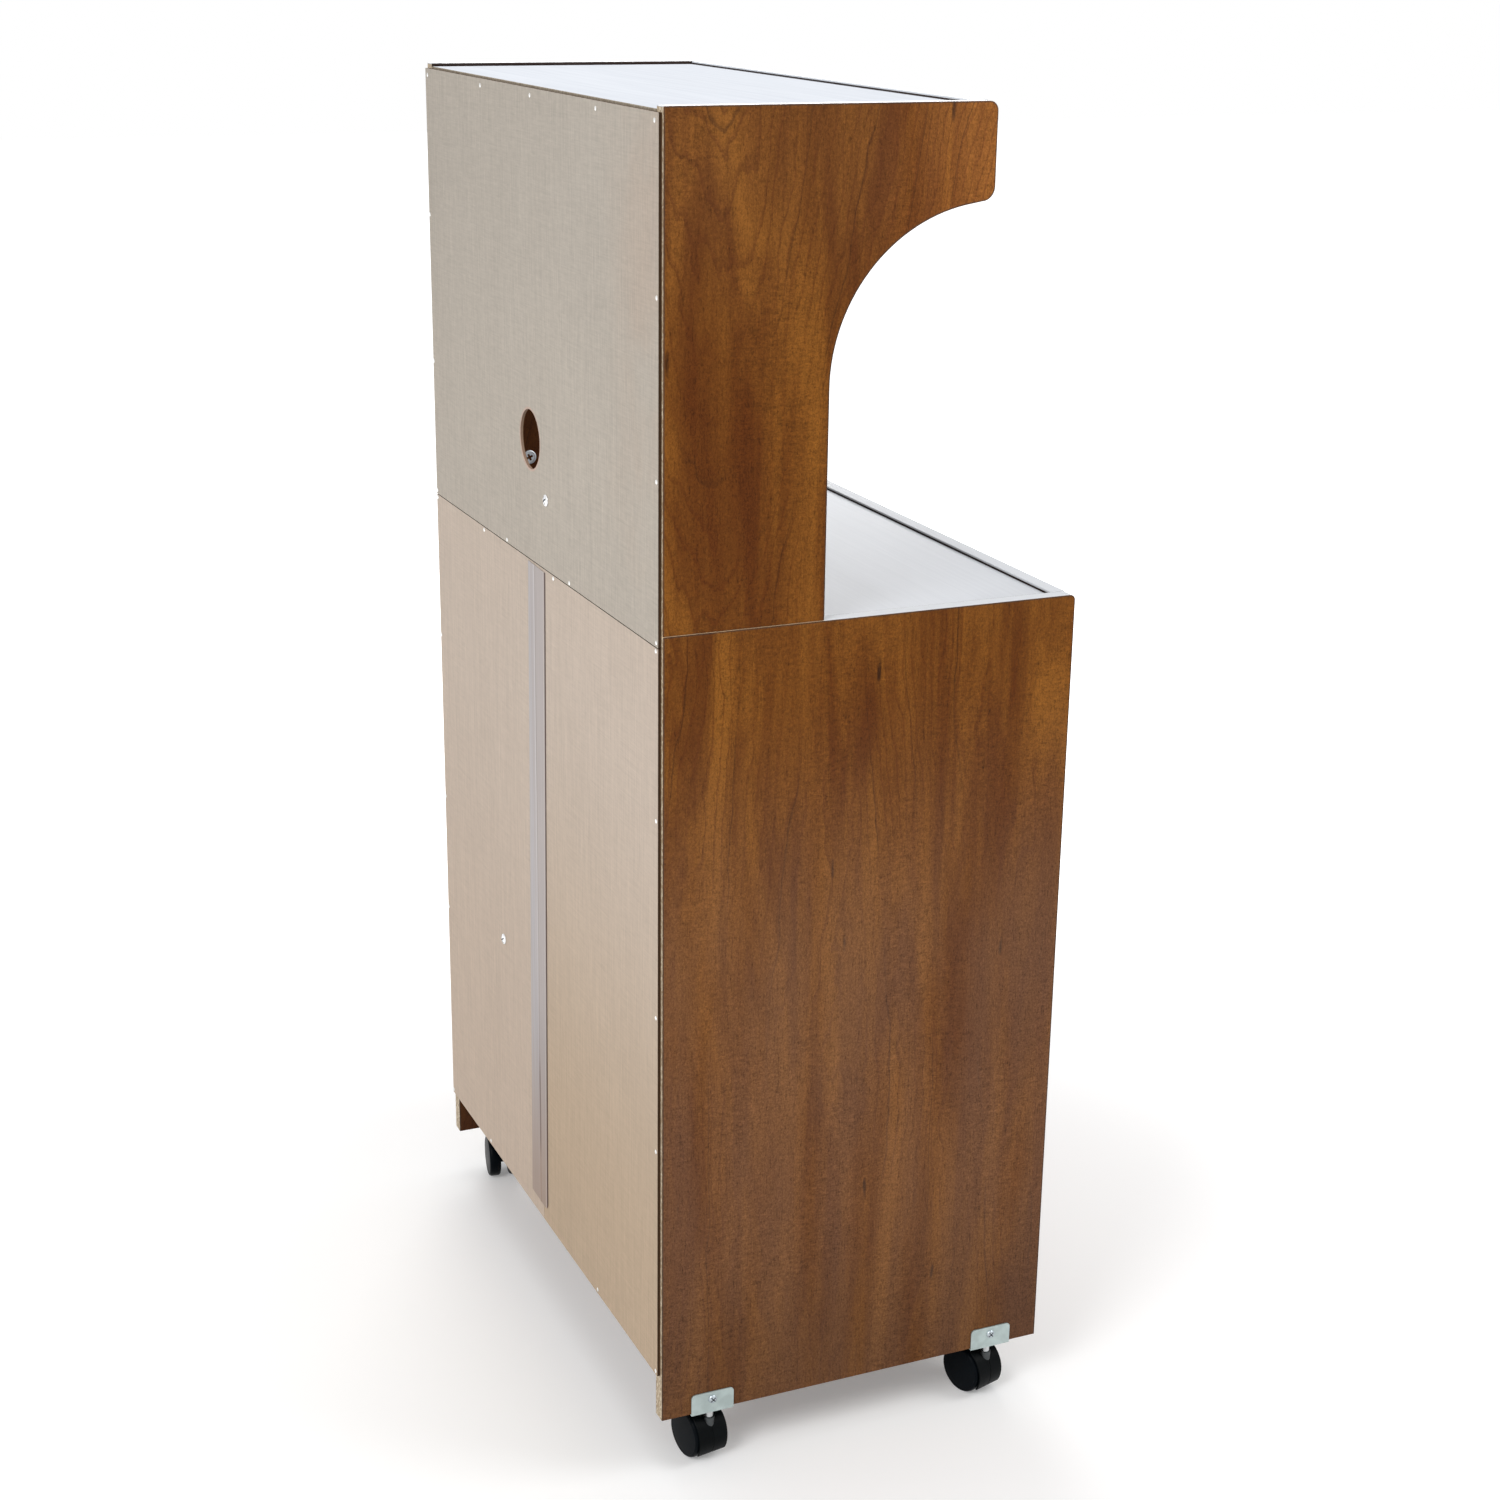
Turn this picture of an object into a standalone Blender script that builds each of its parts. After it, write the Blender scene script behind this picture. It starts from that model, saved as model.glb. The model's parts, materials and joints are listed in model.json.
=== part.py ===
"""A microwave cart on casters: a cabinet with a drawer and two doors, and an open hutch above it.

Metres, +Z up. The front faces -Y, the floor is at Z = 0 and the origin is under the middle of the cart.
The boards are laminated particleboard, and the back is thin hardboard nailed on from behind.
"""

import math

import bmesh
import bpy
from mathutils import Vector

# Driving dimensions: the cart as a whole
CART_WIDTH = 0.650
SIDE_DEPTH = 0.400
SIDE_HEIGHT = 0.763
HUTCH_HEIGHT = 0.433
HUTCH_DEPTH = 0.300
HUTCH_FOOT_DEPTH = 0.150
NOSE_HEIGHT = 0.082

# Boards
BOARD = 0.015
EDGE_ROUND = 0.0006
SIDE_CORNER_RADIUS = 0.005
NOSE_TOP_RADIUS = 0.008
NOSE_BOTTOM_RADIUS = 0.012
HUTCH_INSET = 0.001
LIP = 0.003
FRONT_SETBACK = 0.002
COUNTER_RAIL_HEIGHT = 0.045
VALANCE_HEIGHT = 0.070
DIVIDER_DEPTH = 0.060
PLINTH_HEIGHT = 0.047
PLINTH_SETBACK = 0.012
SHELF_SETBACK = 0.020
HUTCH_RAIL_HEIGHT = 0.070

# Back panels
HARDBOARD = 0.003
BACK_INSET = 0.004
BACK_JOINT = 0.001
BACK_TOP_DROP = 0.002
CABLE_HOLE_RADIUS = 0.0285
CABLE_HOLE_OFFSET = 0.008
CABLE_HOLE_ABOVE_RAIL = 0.011
TAPE_WIDTH = 0.048
TAPE_THICKNESS = 0.0006
TAPE_TOP_DROP = 0.002
TAPE_END_RISE = 0.017
TAPE_CORNER = 0.006
TAPE_OFFSET = 0.0015
TAPE_TILT = math.radians(1.5)

# Screws through the back panels
SCREW_HEAD_RADIUS = 0.0057
SCREW_HEAD_HEIGHT = 0.0022
SCREW_SHANK_RADIUS = 0.00175
SCREW_SHANK_LENGTH = 0.016
HUTCH_SCREW_OFFSET = -0.037
HUTCH_SCREW_BELOW_RAIL_TOP = 0.010
SHELF_SCREW_OFFSET = 0.117

# Drawer
DRAWER_OPENING = 0.130
DRAWER_BOARD = 0.012
DRAWER_SIDE_CLEARANCE = 0.002
DRAWER_FLOOR_CLEARANCE = 0.010
DRAWER_TOP_CLEARANCE = 0.025
DRAWER_REAR_CLEARANCE = 0.035
RUNNER_WIDTH = 0.008
RUNNER_HEIGHT = 0.016
RUNNER_FRONT_GAP = 0.008
RUNNER_REAR_GAP = 0.040
RUNNER_PLAY = 0.0004
GROOVE_RISE = 0.045

# Doors
REVEAL = 0.002
PIN_RADIUS = 0.003
PIN_INSET = 0.015
PIN_IN_DOOR = 0.012
PIN_IN_FRAME = 0.008

# Knobs
KNOB_HEAD_RADIUS = 0.015
KNOB_NECK_RADIUS = 0.0065
KNOB_BASE_RADIUS = 0.009
KNOB_LENGTH = 0.024
KNOB_HEAD_LENGTH = 0.011
DOOR_KNOB_BELOW_TOP = 0.070
DOOR_KNOB_FROM_EDGE = 0.035

# Casters
CASTER_FROM_EDGE = 0.051
WHEEL_RADIUS = 0.024
WHEEL_WIDTH = 0.013
WHEEL_SIDE_GAP = 0.0013
WHEEL_CORNER = 0.0025
WHEEL_BORE_DEPTH = 0.010
TRAIL = 0.017
WEB = 0.008
HUB_RADIUS = 0.009
FENDER_GAP = 0.001
FENDER_WALL = 0.0015
FENDER_WIDTH = 0.030
FENDER_START = math.radians(62)
FENDER_END = math.radians(214)
WEB_SHORT = math.radians(4)
BOSS_RADIUS = 0.0056
BOSS_RISE = 0.003
STEM_RADIUS = 0.004
STEM_IN_BOARD = 0.032
STEM_IN_BOSS = 0.004
COLLAR_RADIUS = 0.0056
COLLAR_HEIGHT = 0.0016
AXLE_RADIUS = 0.0025
SWIVEL_CLEARANCE = 0.006
REAR_YAW = math.radians(9.5)
FRONT_YAW = math.radians(16.5)
BRACKET_WIDTH = 0.043
BRACKET_RISE = 0.0205
BRACKET_THICKNESS = 0.0012
BRACKET_CORNER = 0.004

# Gap between pieces that touch
SEAT_GAP = 0.0003

# Facets
ROUND_STEPS = 32
PIN_STEPS = 16
CORNER_STEPS = 6
ARC_STEPS = 30

# Places worked out from the sizes above
HALF_WIDTH = CART_WIDTH / 2
SIDE_INNER = HALF_WIDTH - BOARD
HUTCH_OUTER = HALF_WIDTH - HUTCH_INSET
HUTCH_INNER = HUTCH_OUTER - BOARD
FRONT_REACH = SIDE_DEPTH - FRONT_SETBACK + SEAT_GAP + KNOB_LENGTH
BACK_REACH = SEAT_GAP + HARDBOARD + SEAT_GAP + SCREW_HEAD_HEIGHT
BACK_Y = (FRONT_REACH - BACK_REACH) / 2
FACE_Y = BACK_Y - SIDE_DEPTH + FRONT_SETBACK
HUTCH_FACE_Y = BACK_Y - HUTCH_DEPTH + FRONT_SETBACK
FENDER_INNER = WHEEL_RADIUS + FENDER_GAP
FENDER_OUTER = FENDER_INNER + FENDER_WALL
BOTTOM_Z = WHEEL_RADIUS + FENDER_OUTER + SWIVEL_CLEARANCE + BRACKET_THICKNESS + SEAT_GAP
SEAM_Z = BOTTOM_Z + SIDE_HEIGHT
TOP_Z = SEAM_Z + SEAT_GAP + HUTCH_HEIGHT
COUNTER_TOP = SEAM_Z - LIP
HUTCH_BOARD_TOP = TOP_Z - LIP
COUNTER_RAIL_LOW = SEAM_Z - COUNTER_RAIL_HEIGHT
DIVIDER_TOP = COUNTER_RAIL_LOW - DRAWER_OPENING
DIVIDER_LOW = DIVIDER_TOP - BOARD
BOTTOM_BOARD_LOW = BOTTOM_Z + PLINTH_HEIGHT
BOTTOM_BOARD_TOP = BOTTOM_BOARD_LOW + BOARD
SHELF_MIDDLE = (DIVIDER_LOW + BOTTOM_BOARD_TOP) / 2
HUTCH_RAIL_TOP = COUNTER_TOP + SEAT_GAP + HUTCH_RAIL_HEIGHT
HUTCH_SCREW_Z = HUTCH_RAIL_TOP - HUTCH_SCREW_BELOW_RAIL_TOP
CABLE_HOLE_Z = HUTCH_RAIL_TOP + CABLE_HOLE_ABOVE_RAIL + CABLE_HOLE_RADIUS
BACK_SEAM_Z = COUNTER_TOP - BOARD / 2
STEM_X = HALF_WIDTH - BOARD / 2

CHERRY = ("cherry_laminate", (0.20, 0.075, 0.025), 0.45, 0.0)
PALE = ("pale_laminate", (0.72, 0.75, 0.79), 0.40, 0.0)
BACK_BOARD = ("hardboard", (0.52, 0.45, 0.38), 0.75, 0.0)
TAPE = ("joint_tape", (0.48, 0.42, 0.38), 0.40, 0.0)
ZINC = ("zinc_plate", (0.62, 0.66, 0.66), 0.35, 0.9)
STEEL = ("bright_steel", (0.70, 0.70, 0.70), 0.30, 1.0)
NICKEL = ("satin_nickel", (0.60, 0.58, 0.54), 0.35, 1.0)
HOOD_NYLON = ("caster_hood", (0.020, 0.022, 0.022), 0.50, 0.0)
WHEEL_NYLON = ("caster_wheel", (0.012, 0.014, 0.017), 0.40, 0.0)
DRAWER_WHITE = ("drawer_lining", (0.62, 0.56, 0.48), 0.60, 0.0)
RUNNER_PLASTIC = ("runner_plastic", (0.75, 0.73, 0.68), 0.50, 0.0)


def clear_scene():
    for old in list(bpy.data.objects):
        bpy.data.objects.remove(old, do_unlink=True)


def new_collection(name):
    collection = bpy.data.collections.new(name)
    bpy.context.scene.collection.children.link(collection)
    return collection


clear_scene()
CART = new_collection("microwave_cart")
CUTTERS = new_collection("cutters")


def material(finish):
    """The Principled material of a finish, made once."""
    name, colour, roughness, metallic = finish
    found = bpy.data.materials.get(name)
    if found:
        return found
    made = bpy.data.materials.new(name)
    made.use_nodes = True
    shader = made.node_tree.nodes["Principled BSDF"]
    shader.inputs["Base Color"].default_value = (*colour, 1.0)
    shader.inputs["Roughness"].default_value = roughness
    shader.inputs["Metallic"].default_value = metallic
    return made


def move_to(collection, obj):
    for holder in list(obj.users_collection):
        holder.objects.unlink(obj)
    collection.objects.link(obj)


def finish_part(obj, name, finish, parent=None):
    """Names a part, gives it its material and hangs it on its parent, in the parent's own frame."""
    obj.name = name
    obj.data.name = name
    obj.data.materials.clear()
    obj.data.materials.append(material(finish))
    move_to(CART, obj)
    obj.parent = parent
    return obj


def pivot(name, place, turn=0.0):
    """An empty on a joint's axis, which carries the pieces that move with the joint."""
    empty = bpy.data.objects.new(name, None)
    empty.empty_display_size = 0.03
    empty.location = place
    empty.rotation_euler.z = turn
    CART.objects.link(empty)
    return empty


def round_edges(obj, width=EDGE_ROUND):
    bevel = obj.modifiers.new("edges", "BEVEL")
    bevel.width = width
    bevel.segments = 1
    bevel.limit_method = "ANGLE"
    bevel.angle_limit = math.radians(40)


def box(low, high):
    """A box between two corners, with its size in its mesh and its origin at its middle."""
    low, high = Vector(low), Vector(high)
    bpy.ops.mesh.primitive_cube_add(size=1.0)
    obj = bpy.context.object
    size = high - low
    for vertex in obj.data.vertices:
        vertex.co = Vector(a * b for a, b in zip(vertex.co, size))
    obj.location = (low + high) / 2
    return obj


def board(name, low, high, finish=CHERRY, parent=None):
    """A flat board between two corners given in its parent's frame."""
    obj = finish_part(box(low, high), name, finish, parent)
    round_edges(obj)
    return obj


def cylinder(radius, low, high, steps=PIN_STEPS):
    """An upright cylinder between two points on one vertical line."""
    low, high = Vector(low), Vector(high)
    bpy.ops.mesh.primitive_cylinder_add(vertices=steps, radius=radius, depth=(high - low).length)
    obj = bpy.context.object
    obj.location = (low + high) / 2
    return obj


def as_mesh(obj):
    """Replaces an object by the closed mesh that its modifiers or its curve give."""
    bpy.context.view_layer.update()
    graph = bpy.context.evaluated_depsgraph_get()
    mesh = bpy.data.meshes.new_from_object(obj.evaluated_get(graph))
    welded = bmesh.new()
    welded.from_mesh(mesh)
    bmesh.ops.remove_doubles(welded, verts=welded.verts, dist=1e-6)
    bmesh.ops.recalc_face_normals(welded, faces=welded.faces)
    welded.to_mesh(mesh)
    welded.free()
    solid = bpy.data.objects.new(obj.name, mesh)
    solid.matrix_world = obj.matrix_world.copy()
    CUTTERS.objects.link(solid)
    bpy.data.objects.remove(obj, do_unlink=True)
    return solid


def outline(points, thickness, place, turn):
    """A flat outline of the given thickness, its middle plane through place, as a mesh object."""
    curve = bpy.data.curves.new("outline", "CURVE")
    curve.dimensions = "2D"
    curve.fill_mode = "BOTH"
    curve.extrude = thickness / 2
    spline = curve.splines.new("POLY")
    spline.points.add(len(points) - 1)
    for point, (u, v) in zip(spline.points, points):
        point.co = (u, v, 0.0, 1.0)
    spline.use_cyclic_u = True
    obj = bpy.data.objects.new("outline", curve)
    obj.location = place
    obj.rotation_euler = turn
    bpy.context.scene.collection.objects.link(obj)
    return as_mesh(obj)


# Turns that lay an outline's own X and Y along the world's Y and Z, or its X and Z
IN_SIDE_PLANE = (math.pi / 2, 0.0, math.pi / 2)
IN_FRONT_PLANE = (math.pi / 2, 0.0, 0.0)


def arc(centre, radius, start, end, steps):
    """Points on an arc, both ends included."""
    turns = [start + (end - start) * k / steps for k in range(steps + 1)]
    return [(centre[0] + radius * math.cos(a), centre[1] + radius * math.sin(a)) for a in turns]


def turned(profile, steps, place, turn=(0.0, 0.0, 0.0)):
    """A profile of (radius, height) points, from its top to its bottom on the axis, turned about Z."""
    mesh = bpy.data.meshes.new("profile")
    edges = [(k, k + 1) for k in range(len(profile) - 1)]
    mesh.from_pydata([(radius, 0.0, height) for radius, height in profile], edges, [])
    obj = bpy.data.objects.new("profile", mesh)
    obj.location = place
    obj.rotation_euler = turn
    bpy.context.scene.collection.objects.link(obj)
    screw = obj.modifiers.new("turn", "SCREW")
    screw.axis = "Z"
    screw.angle = math.tau
    screw.steps = steps
    screw.render_steps = steps
    screw.use_merge_vertices = True
    screw.merge_threshold = 1e-5
    return as_mesh(obj)


def combine(obj, tool, operation):
    """Adds a Boolean modifier that cuts or joins a tool, which stays in the cutters' collection."""
    move_to(CUTTERS, tool)
    tool.hide_render = True
    tool.display_type = "WIRE"
    step = obj.modifiers.new(operation.lower(), "BOOLEAN")
    step.operation = operation
    step.object = tool
    step.solver = "EXACT"


def bore(obj, radius, low, high, parent=None):
    """Cuts an upright round hole between two points given in the parent's frame."""
    tool = cylinder(radius, low, high)
    tool.parent = parent
    combine(obj, tool, "DIFFERENCE")


def bore_from_back(obj, radius, x, z, depth, steps=PIN_STEPS):
    """Cuts a round hole forward from behind the cart, as deep as depth in front of the sides' back edges."""
    start = BACK_Y + HARDBOARD + 2 * BACK_INSET
    tool = cylinder(radius, (0, 0, 0), (0, 0, start - BACK_Y + depth), steps)
    tool.rotation_euler.x = math.pi / 2
    tool.location = (x, (start + BACK_Y - depth) / 2, z)
    combine(obj, tool, "DIFFERENCE")


def sides():
    """The two sides as (name, sign of X)."""
    return (("left", -1), ("right", 1))


def lower_sides():
    """The cabinet's side boards, with a rounded front top corner and a hole for each caster's stem."""
    front, r = -SIDE_DEPTH, SIDE_CORNER_RADIUS
    corner = arc((front + r, SIDE_HEIGHT - r), r, math.pi / 2, math.pi, CORNER_STEPS)
    points = [(front, 0.0), (0.0, 0.0), (0.0, SIDE_HEIGHT), *corner]
    for name, sign in sides():
        obj = outline(points, BOARD, (sign * STEM_X, BACK_Y, BOTTOM_Z), IN_SIDE_PLANE)
        finish_part(obj, f"lower_side_{name}", CHERRY)
        round_edges(obj)
        for y in (REAR_STEM_Y, FRONT_STEM_Y):
            low = Vector((sign * STEM_X, y, BOTTOM_Z - BOARD))
            high = Vector((sign * STEM_X, y, BOTTOM_Z + STEM_IN_BOARD + SEAT_GAP))
            bore(obj, STEM_RADIUS + SEAT_GAP, low, high)


def cabinet_boards():
    """The boards between the cabinet's sides."""
    x = SIDE_INNER - SEAT_GAP
    behind_face = FACE_Y + BOARD + SEAT_GAP
    board("counter_board", (-x, behind_face, COUNTER_TOP - BOARD), (x, BACK_Y, COUNTER_TOP), PALE)
    board("counter_front_rail", (-x, FACE_Y, COUNTER_RAIL_LOW), (x, FACE_Y + BOARD, SEAM_Z))
    divider_high = (x, FACE_Y + DIVIDER_DEPTH, DIVIDER_TOP)
    divider = board("drawer_divider_rail", (-x, FACE_Y, DIVIDER_LOW), divider_high)
    bottom = board("bottom_board", (-x, FACE_Y, BOTTOM_BOARD_LOW), (x, BACK_Y, BOTTOM_BOARD_TOP))
    shelf_front = FACE_Y + BOARD + SHELF_SETBACK
    shelf_low = (-x, shelf_front, SHELF_MIDDLE - BOARD / 2)
    shelf = board("middle_shelf", shelf_low, (x, BACK_Y, SHELF_MIDDLE + BOARD / 2))
    bore_from_back(shelf, SCREW_HOLE, SHELF_SCREW_OFFSET, SHELF_MIDDLE, SCREW_DEPTH)
    plinth_y = FACE_Y + PLINTH_SETBACK
    plinth_top = BOTTOM_BOARD_LOW - SEAT_GAP
    board("plinth_rail", (-x, plinth_y, BOTTOM_Z), (x, plinth_y + BOARD, plinth_top))
    hole = PIN_RADIUS + SEAT_GAP
    depth = PIN_IN_FRAME + SEAT_GAP
    low, top = DIVIDER_LOW, BOTTOM_BOARD_TOP
    for _, sign in sides():
        pin_x = sign * DOOR_PIN_X
        bore(divider, hole, (pin_x, DOOR_PIN_Y, low - BOARD), (pin_x, DOOR_PIN_Y, low + depth))
        bore(bottom, hole, (pin_x, DOOR_PIN_Y, top - depth), (pin_x, DOOR_PIN_Y, top + BOARD))


def hutch_sides():
    """The hutch's side boards: deep at the top, cut back below in a quarter circle to a narrow foot."""
    front, top = -HUTCH_DEPTH, HUTCH_HEIGHT
    nose_low = HUTCH_HEIGHT - NOSE_HEIGHT
    cut = HUTCH_DEPTH - HUTCH_FOOT_DEPTH
    r, low_r = NOSE_TOP_RADIUS, NOSE_BOTTOM_RADIUS
    top_corner = arc((front + r, top - r), r, math.pi / 2, math.pi, CORNER_STEPS)
    low_corner = arc((front + low_r, nose_low + low_r), low_r, math.pi, 1.5 * math.pi, CORNER_STEPS)
    start = math.acos(low_r / cut) - math.pi / ARC_STEPS
    sweep = arc((front, nose_low - cut), cut, start, 0.0, ARC_STEPS)
    points = [(0.0, 0.0), (0.0, top), *top_corner, *low_corner, *sweep, (-HUTCH_FOOT_DEPTH, 0.0)]
    for name, sign in sides():
        place = (sign * (HUTCH_OUTER - BOARD / 2), BACK_Y, SEAM_Z + SEAT_GAP)
        obj = outline(points, BOARD, place, IN_SIDE_PLANE)
        finish_part(obj, f"hutch_side_{name}", CHERRY)
        round_edges(obj)


def hutch_boards():
    """The boards between the hutch's sides."""
    x = HUTCH_INNER - SEAT_GAP
    behind_face = HUTCH_FACE_Y + BOARD + SEAT_GAP
    board("hutch_top_board", (-x, behind_face, HUTCH_BOARD_TOP - BOARD), (x, BACK_Y, HUTCH_BOARD_TOP), PALE)
    rail_low = (-x, HUTCH_FACE_Y, TOP_Z - VALANCE_HEIGHT)
    board("hutch_front_rail", rail_low, (x, HUTCH_FACE_Y + BOARD, TOP_Z))
    rail_low = (-x, BACK_Y - BOARD, COUNTER_TOP + SEAT_GAP)
    rail = board("hutch_back_rail", rail_low, (x, BACK_Y, HUTCH_RAIL_TOP))
    bore_from_back(rail, SCREW_HOLE, HUTCH_SCREW_OFFSET, HUTCH_SCREW_Z, SCREW_DEPTH)


def back_panels():
    """The hutch's back, the cabinet's back in two halves, and the tape over their joint."""
    x = HALF_WIDTH - BACK_INSET
    near, far = BACK_Y + SEAT_GAP, BACK_Y + SEAT_GAP + HARDBOARD
    half_joint = BACK_JOINT / 2
    top = HUTCH_BOARD_TOP - BACK_TOP_DROP
    upper_low = (-x, near, BACK_SEAM_Z + half_joint)
    upper = finish_part(box(upper_low, (x, far, top)), "hutch_back_panel", BACK_BOARD)
    bore_from_back(upper, CABLE_HOLE_RADIUS, CABLE_HOLE_OFFSET, CABLE_HOLE_Z, BOARD, ROUND_STEPS)
    bore_from_back(upper, SCREW_HOLE, HUTCH_SCREW_OFFSET, HUTCH_SCREW_Z, BOARD)
    lower_top = BACK_SEAM_Z - half_joint
    for name, sign in sides():
        ends = sorted((sign * half_joint, sign * x))
        low, high = (ends[0], near, BOTTOM_BOARD_LOW), (ends[1], far, lower_top)
        half = finish_part(box(low, high), f"lower_back_{name}", BACK_BOARD)
        if sign * SHELF_SCREW_OFFSET > 0:
            bore_from_back(half, SCREW_HOLE, SHELF_SCREW_OFFSET, SHELF_MIDDLE, BOARD)
    low, high = BOTTOM_BOARD_LOW + TAPE_END_RISE, lower_top - TAPE_TOP_DROP
    half_width, half_length = TAPE_WIDTH / 2, (high - low) / 2
    r = TAPE_CORNER
    corner = arc((r - half_width, r - half_length), r, math.pi, 1.5 * math.pi, CORNER_STEPS)
    points = [*corner, (half_width, -half_length), (half_width, half_length), (-half_width, half_length)]
    place = (TAPE_OFFSET, far + SEAT_GAP + TAPE_THICKNESS / 2, (low + high) / 2)
    tape = outline(points, TAPE_THICKNESS, place, (math.pi / 2, -TAPE_TILT, 0.0))
    finish_part(tape, "back_joint_tape", TAPE)


def back_screws():
    """A round-headed screw through each back panel into the rail or shelf behind it."""
    head, shank = SCREW_HEAD_RADIUS, SCREW_SHANK_RADIUS
    dome = arc((0.0, 0.0), 1.0, math.pi / 2, 0.0, CORNER_STEPS)
    profile = [(head * u, SCREW_HEAD_HEIGHT * v) for u, v in dome]
    profile += [(shank, 0.0), (shank, -SCREW_SHANK_LENGTH), (0.0, -SCREW_SHANK_LENGTH)]
    seat_y = BACK_Y + HARDBOARD + 2 * SEAT_GAP
    places = {"hutch_back_screw": (HUTCH_SCREW_OFFSET, HUTCH_SCREW_Z)}
    places["shelf_back_screw"] = (SHELF_SCREW_OFFSET, SHELF_MIDDLE)
    for name, (x, z) in places.items():
        obj = turned(profile, PIN_STEPS, (x, seat_y, z), (-math.pi / 2, 0.0, 0.0))
        finish_part(obj, name, STEEL)


def knob(name, x, z, parent):
    """A turned knob on the front face, its place given in the cart's frame."""
    neck, head, base = KNOB_NECK_RADIUS, KNOB_HEAD_RADIUS, KNOB_BASE_RADIUS
    crown = KNOB_HEAD_LENGTH / 2
    middle = KNOB_LENGTH - crown
    dome = arc((0.0, 0.0), 1.0, math.pi / 2, -math.pi / 3, CORNER_STEPS + 2)
    profile = [(head * u, middle + crown * v) for u, v in dome]
    profile += [(neck, KNOB_LENGTH - KNOB_HEAD_LENGTH), (neck, base / 2), (base, 0.0), (0.0, 0.0)]
    place = Vector((x, FACE_Y - SEAT_GAP, z)) - parent.location
    obj = turned(profile, ROUND_STEPS, place, (math.pi / 2, 0.0, 0.0))
    finish_part(obj, name, NICKEL, parent)


def drawer():
    """A drawer box behind an inset front, with a groove along each side for its runner."""
    slide = pivot("drawer_slide", (0.0, FACE_Y, DRAWER_LOW))
    behind = BOARD + SEAT_GAP
    length = SIDE_DEPTH - FRONT_SETBACK - behind - DRAWER_REAR_CLEARANCE
    height = DRAWER_OPENING - DRAWER_FLOOR_CLEARANCE - DRAWER_TOP_CLEARANCE
    outer = SIDE_INNER - DRAWER_SIDE_CLEARANCE
    inner = outer - DRAWER_BOARD
    front_low = DIVIDER_TOP + REVEAL - DRAWER_LOW
    front_top = COUNTER_RAIL_LOW - REVEAL - DRAWER_LOW
    x = SIDE_INNER - REVEAL
    board("drawer_front", (-x, 0.0, front_low), (x, BOARD, front_top), CHERRY, slide)
    groove = outer - (SIDE_INNER - SEAT_GAP - RUNNER_WIDTH) + RUNNER_PLAY
    groove_half = RUNNER_HEIGHT / 2 + RUNNER_PLAY
    mouth = [(outer, GROOVE_RISE - groove_half), (outer - groove, GROOVE_RISE - groove_half)]
    mouth += [(outer - groove, GROOVE_RISE + groove_half), (outer, GROOVE_RISE + groove_half)]
    profile = [(inner, 0.0), (outer, 0.0), *mouth, (outer, height), (inner, height)]
    for name, sign in sides():
        points = [(sign * u, v) for u, v in profile][::sign]
        side = outline(points, length, (0.0, behind + length / 2, 0.0), IN_FRONT_PLANE)
        finish_part(side, f"drawer_side_{name}", DRAWER_WHITE, slide)
    end = behind + length
    x = inner - SEAT_GAP
    board("drawer_back", (-x, end - DRAWER_BOARD, 0.0), (x, end, height), DRAWER_WHITE, slide)
    floor_low = (-outer, behind, -SEAT_GAP - HARDBOARD)
    finish_part(box(floor_low, (outer, end, -SEAT_GAP)), "drawer_bottom", BACK_BOARD, slide)
    knob("drawer_knob", 0.0, (DIVIDER_TOP + COUNTER_RAIL_LOW) / 2, slide)
    runner_z = DRAWER_LOW + GROOVE_RISE
    runner_y = (FACE_Y + BOARD + RUNNER_FRONT_GAP, BACK_Y - RUNNER_REAR_GAP)
    for name, sign in sides():
        ends = sorted((sign * (SIDE_INNER - SEAT_GAP - RUNNER_WIDTH), sign * (SIDE_INNER - SEAT_GAP)))
        low = (ends[0], runner_y[0], runner_z - RUNNER_HEIGHT / 2)
        high = (ends[1], runner_y[1], runner_z + RUNNER_HEIGHT / 2)
        board(f"drawer_runner_{name}", low, high, RUNNER_PLASTIC)


def doors():
    """Two inset doors, each turning on a pin at its top and one at its bottom."""
    low, high = BOTTOM_BOARD_TOP + REVEAL, DIVIDER_LOW - REVEAL
    hole = PIN_RADIUS + SEAT_GAP
    for name, sign in sides():
        axis = pivot(f"door_{name}_pivot", (sign * DOOR_PIN_X, DOOR_PIN_Y, 0.0))
        edge = sign * (SIDE_INNER - REVEAL - DOOR_PIN_X)
        meeting = sign * (REVEAL / 2 - DOOR_PIN_X)
        ends = sorted((edge, meeting))
        door = board(f"door_{name}", (ends[0], -BOARD / 2, low), (ends[1], BOARD / 2, high), CHERRY, axis)
        depth = PIN_IN_DOOR + SEAT_GAP
        bore(door, hole, (0, 0, high - depth), (0, 0, high + BOARD), axis)
        bore(door, hole, (0, 0, low - BOARD), (0, 0, low + depth), axis)
        spans = {"top": (high - PIN_IN_DOOR, DIVIDER_LOW + PIN_IN_FRAME)}
        spans["bottom"] = (BOTTOM_BOARD_TOP - PIN_IN_FRAME, low + PIN_IN_DOOR)
        for end, (start, stop) in spans.items():
            pin = cylinder(PIN_RADIUS, (0, 0, start), (0, 0, stop))
            finish_part(pin, f"door_{name}_{end}_pin", STEEL, axis)
        knob_x = sign * (REVEAL / 2 + DOOR_KNOB_FROM_EDGE)
        knob(f"door_{name}_knob", knob_x, high - DOOR_KNOB_BELOW_TOP, axis)


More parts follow.
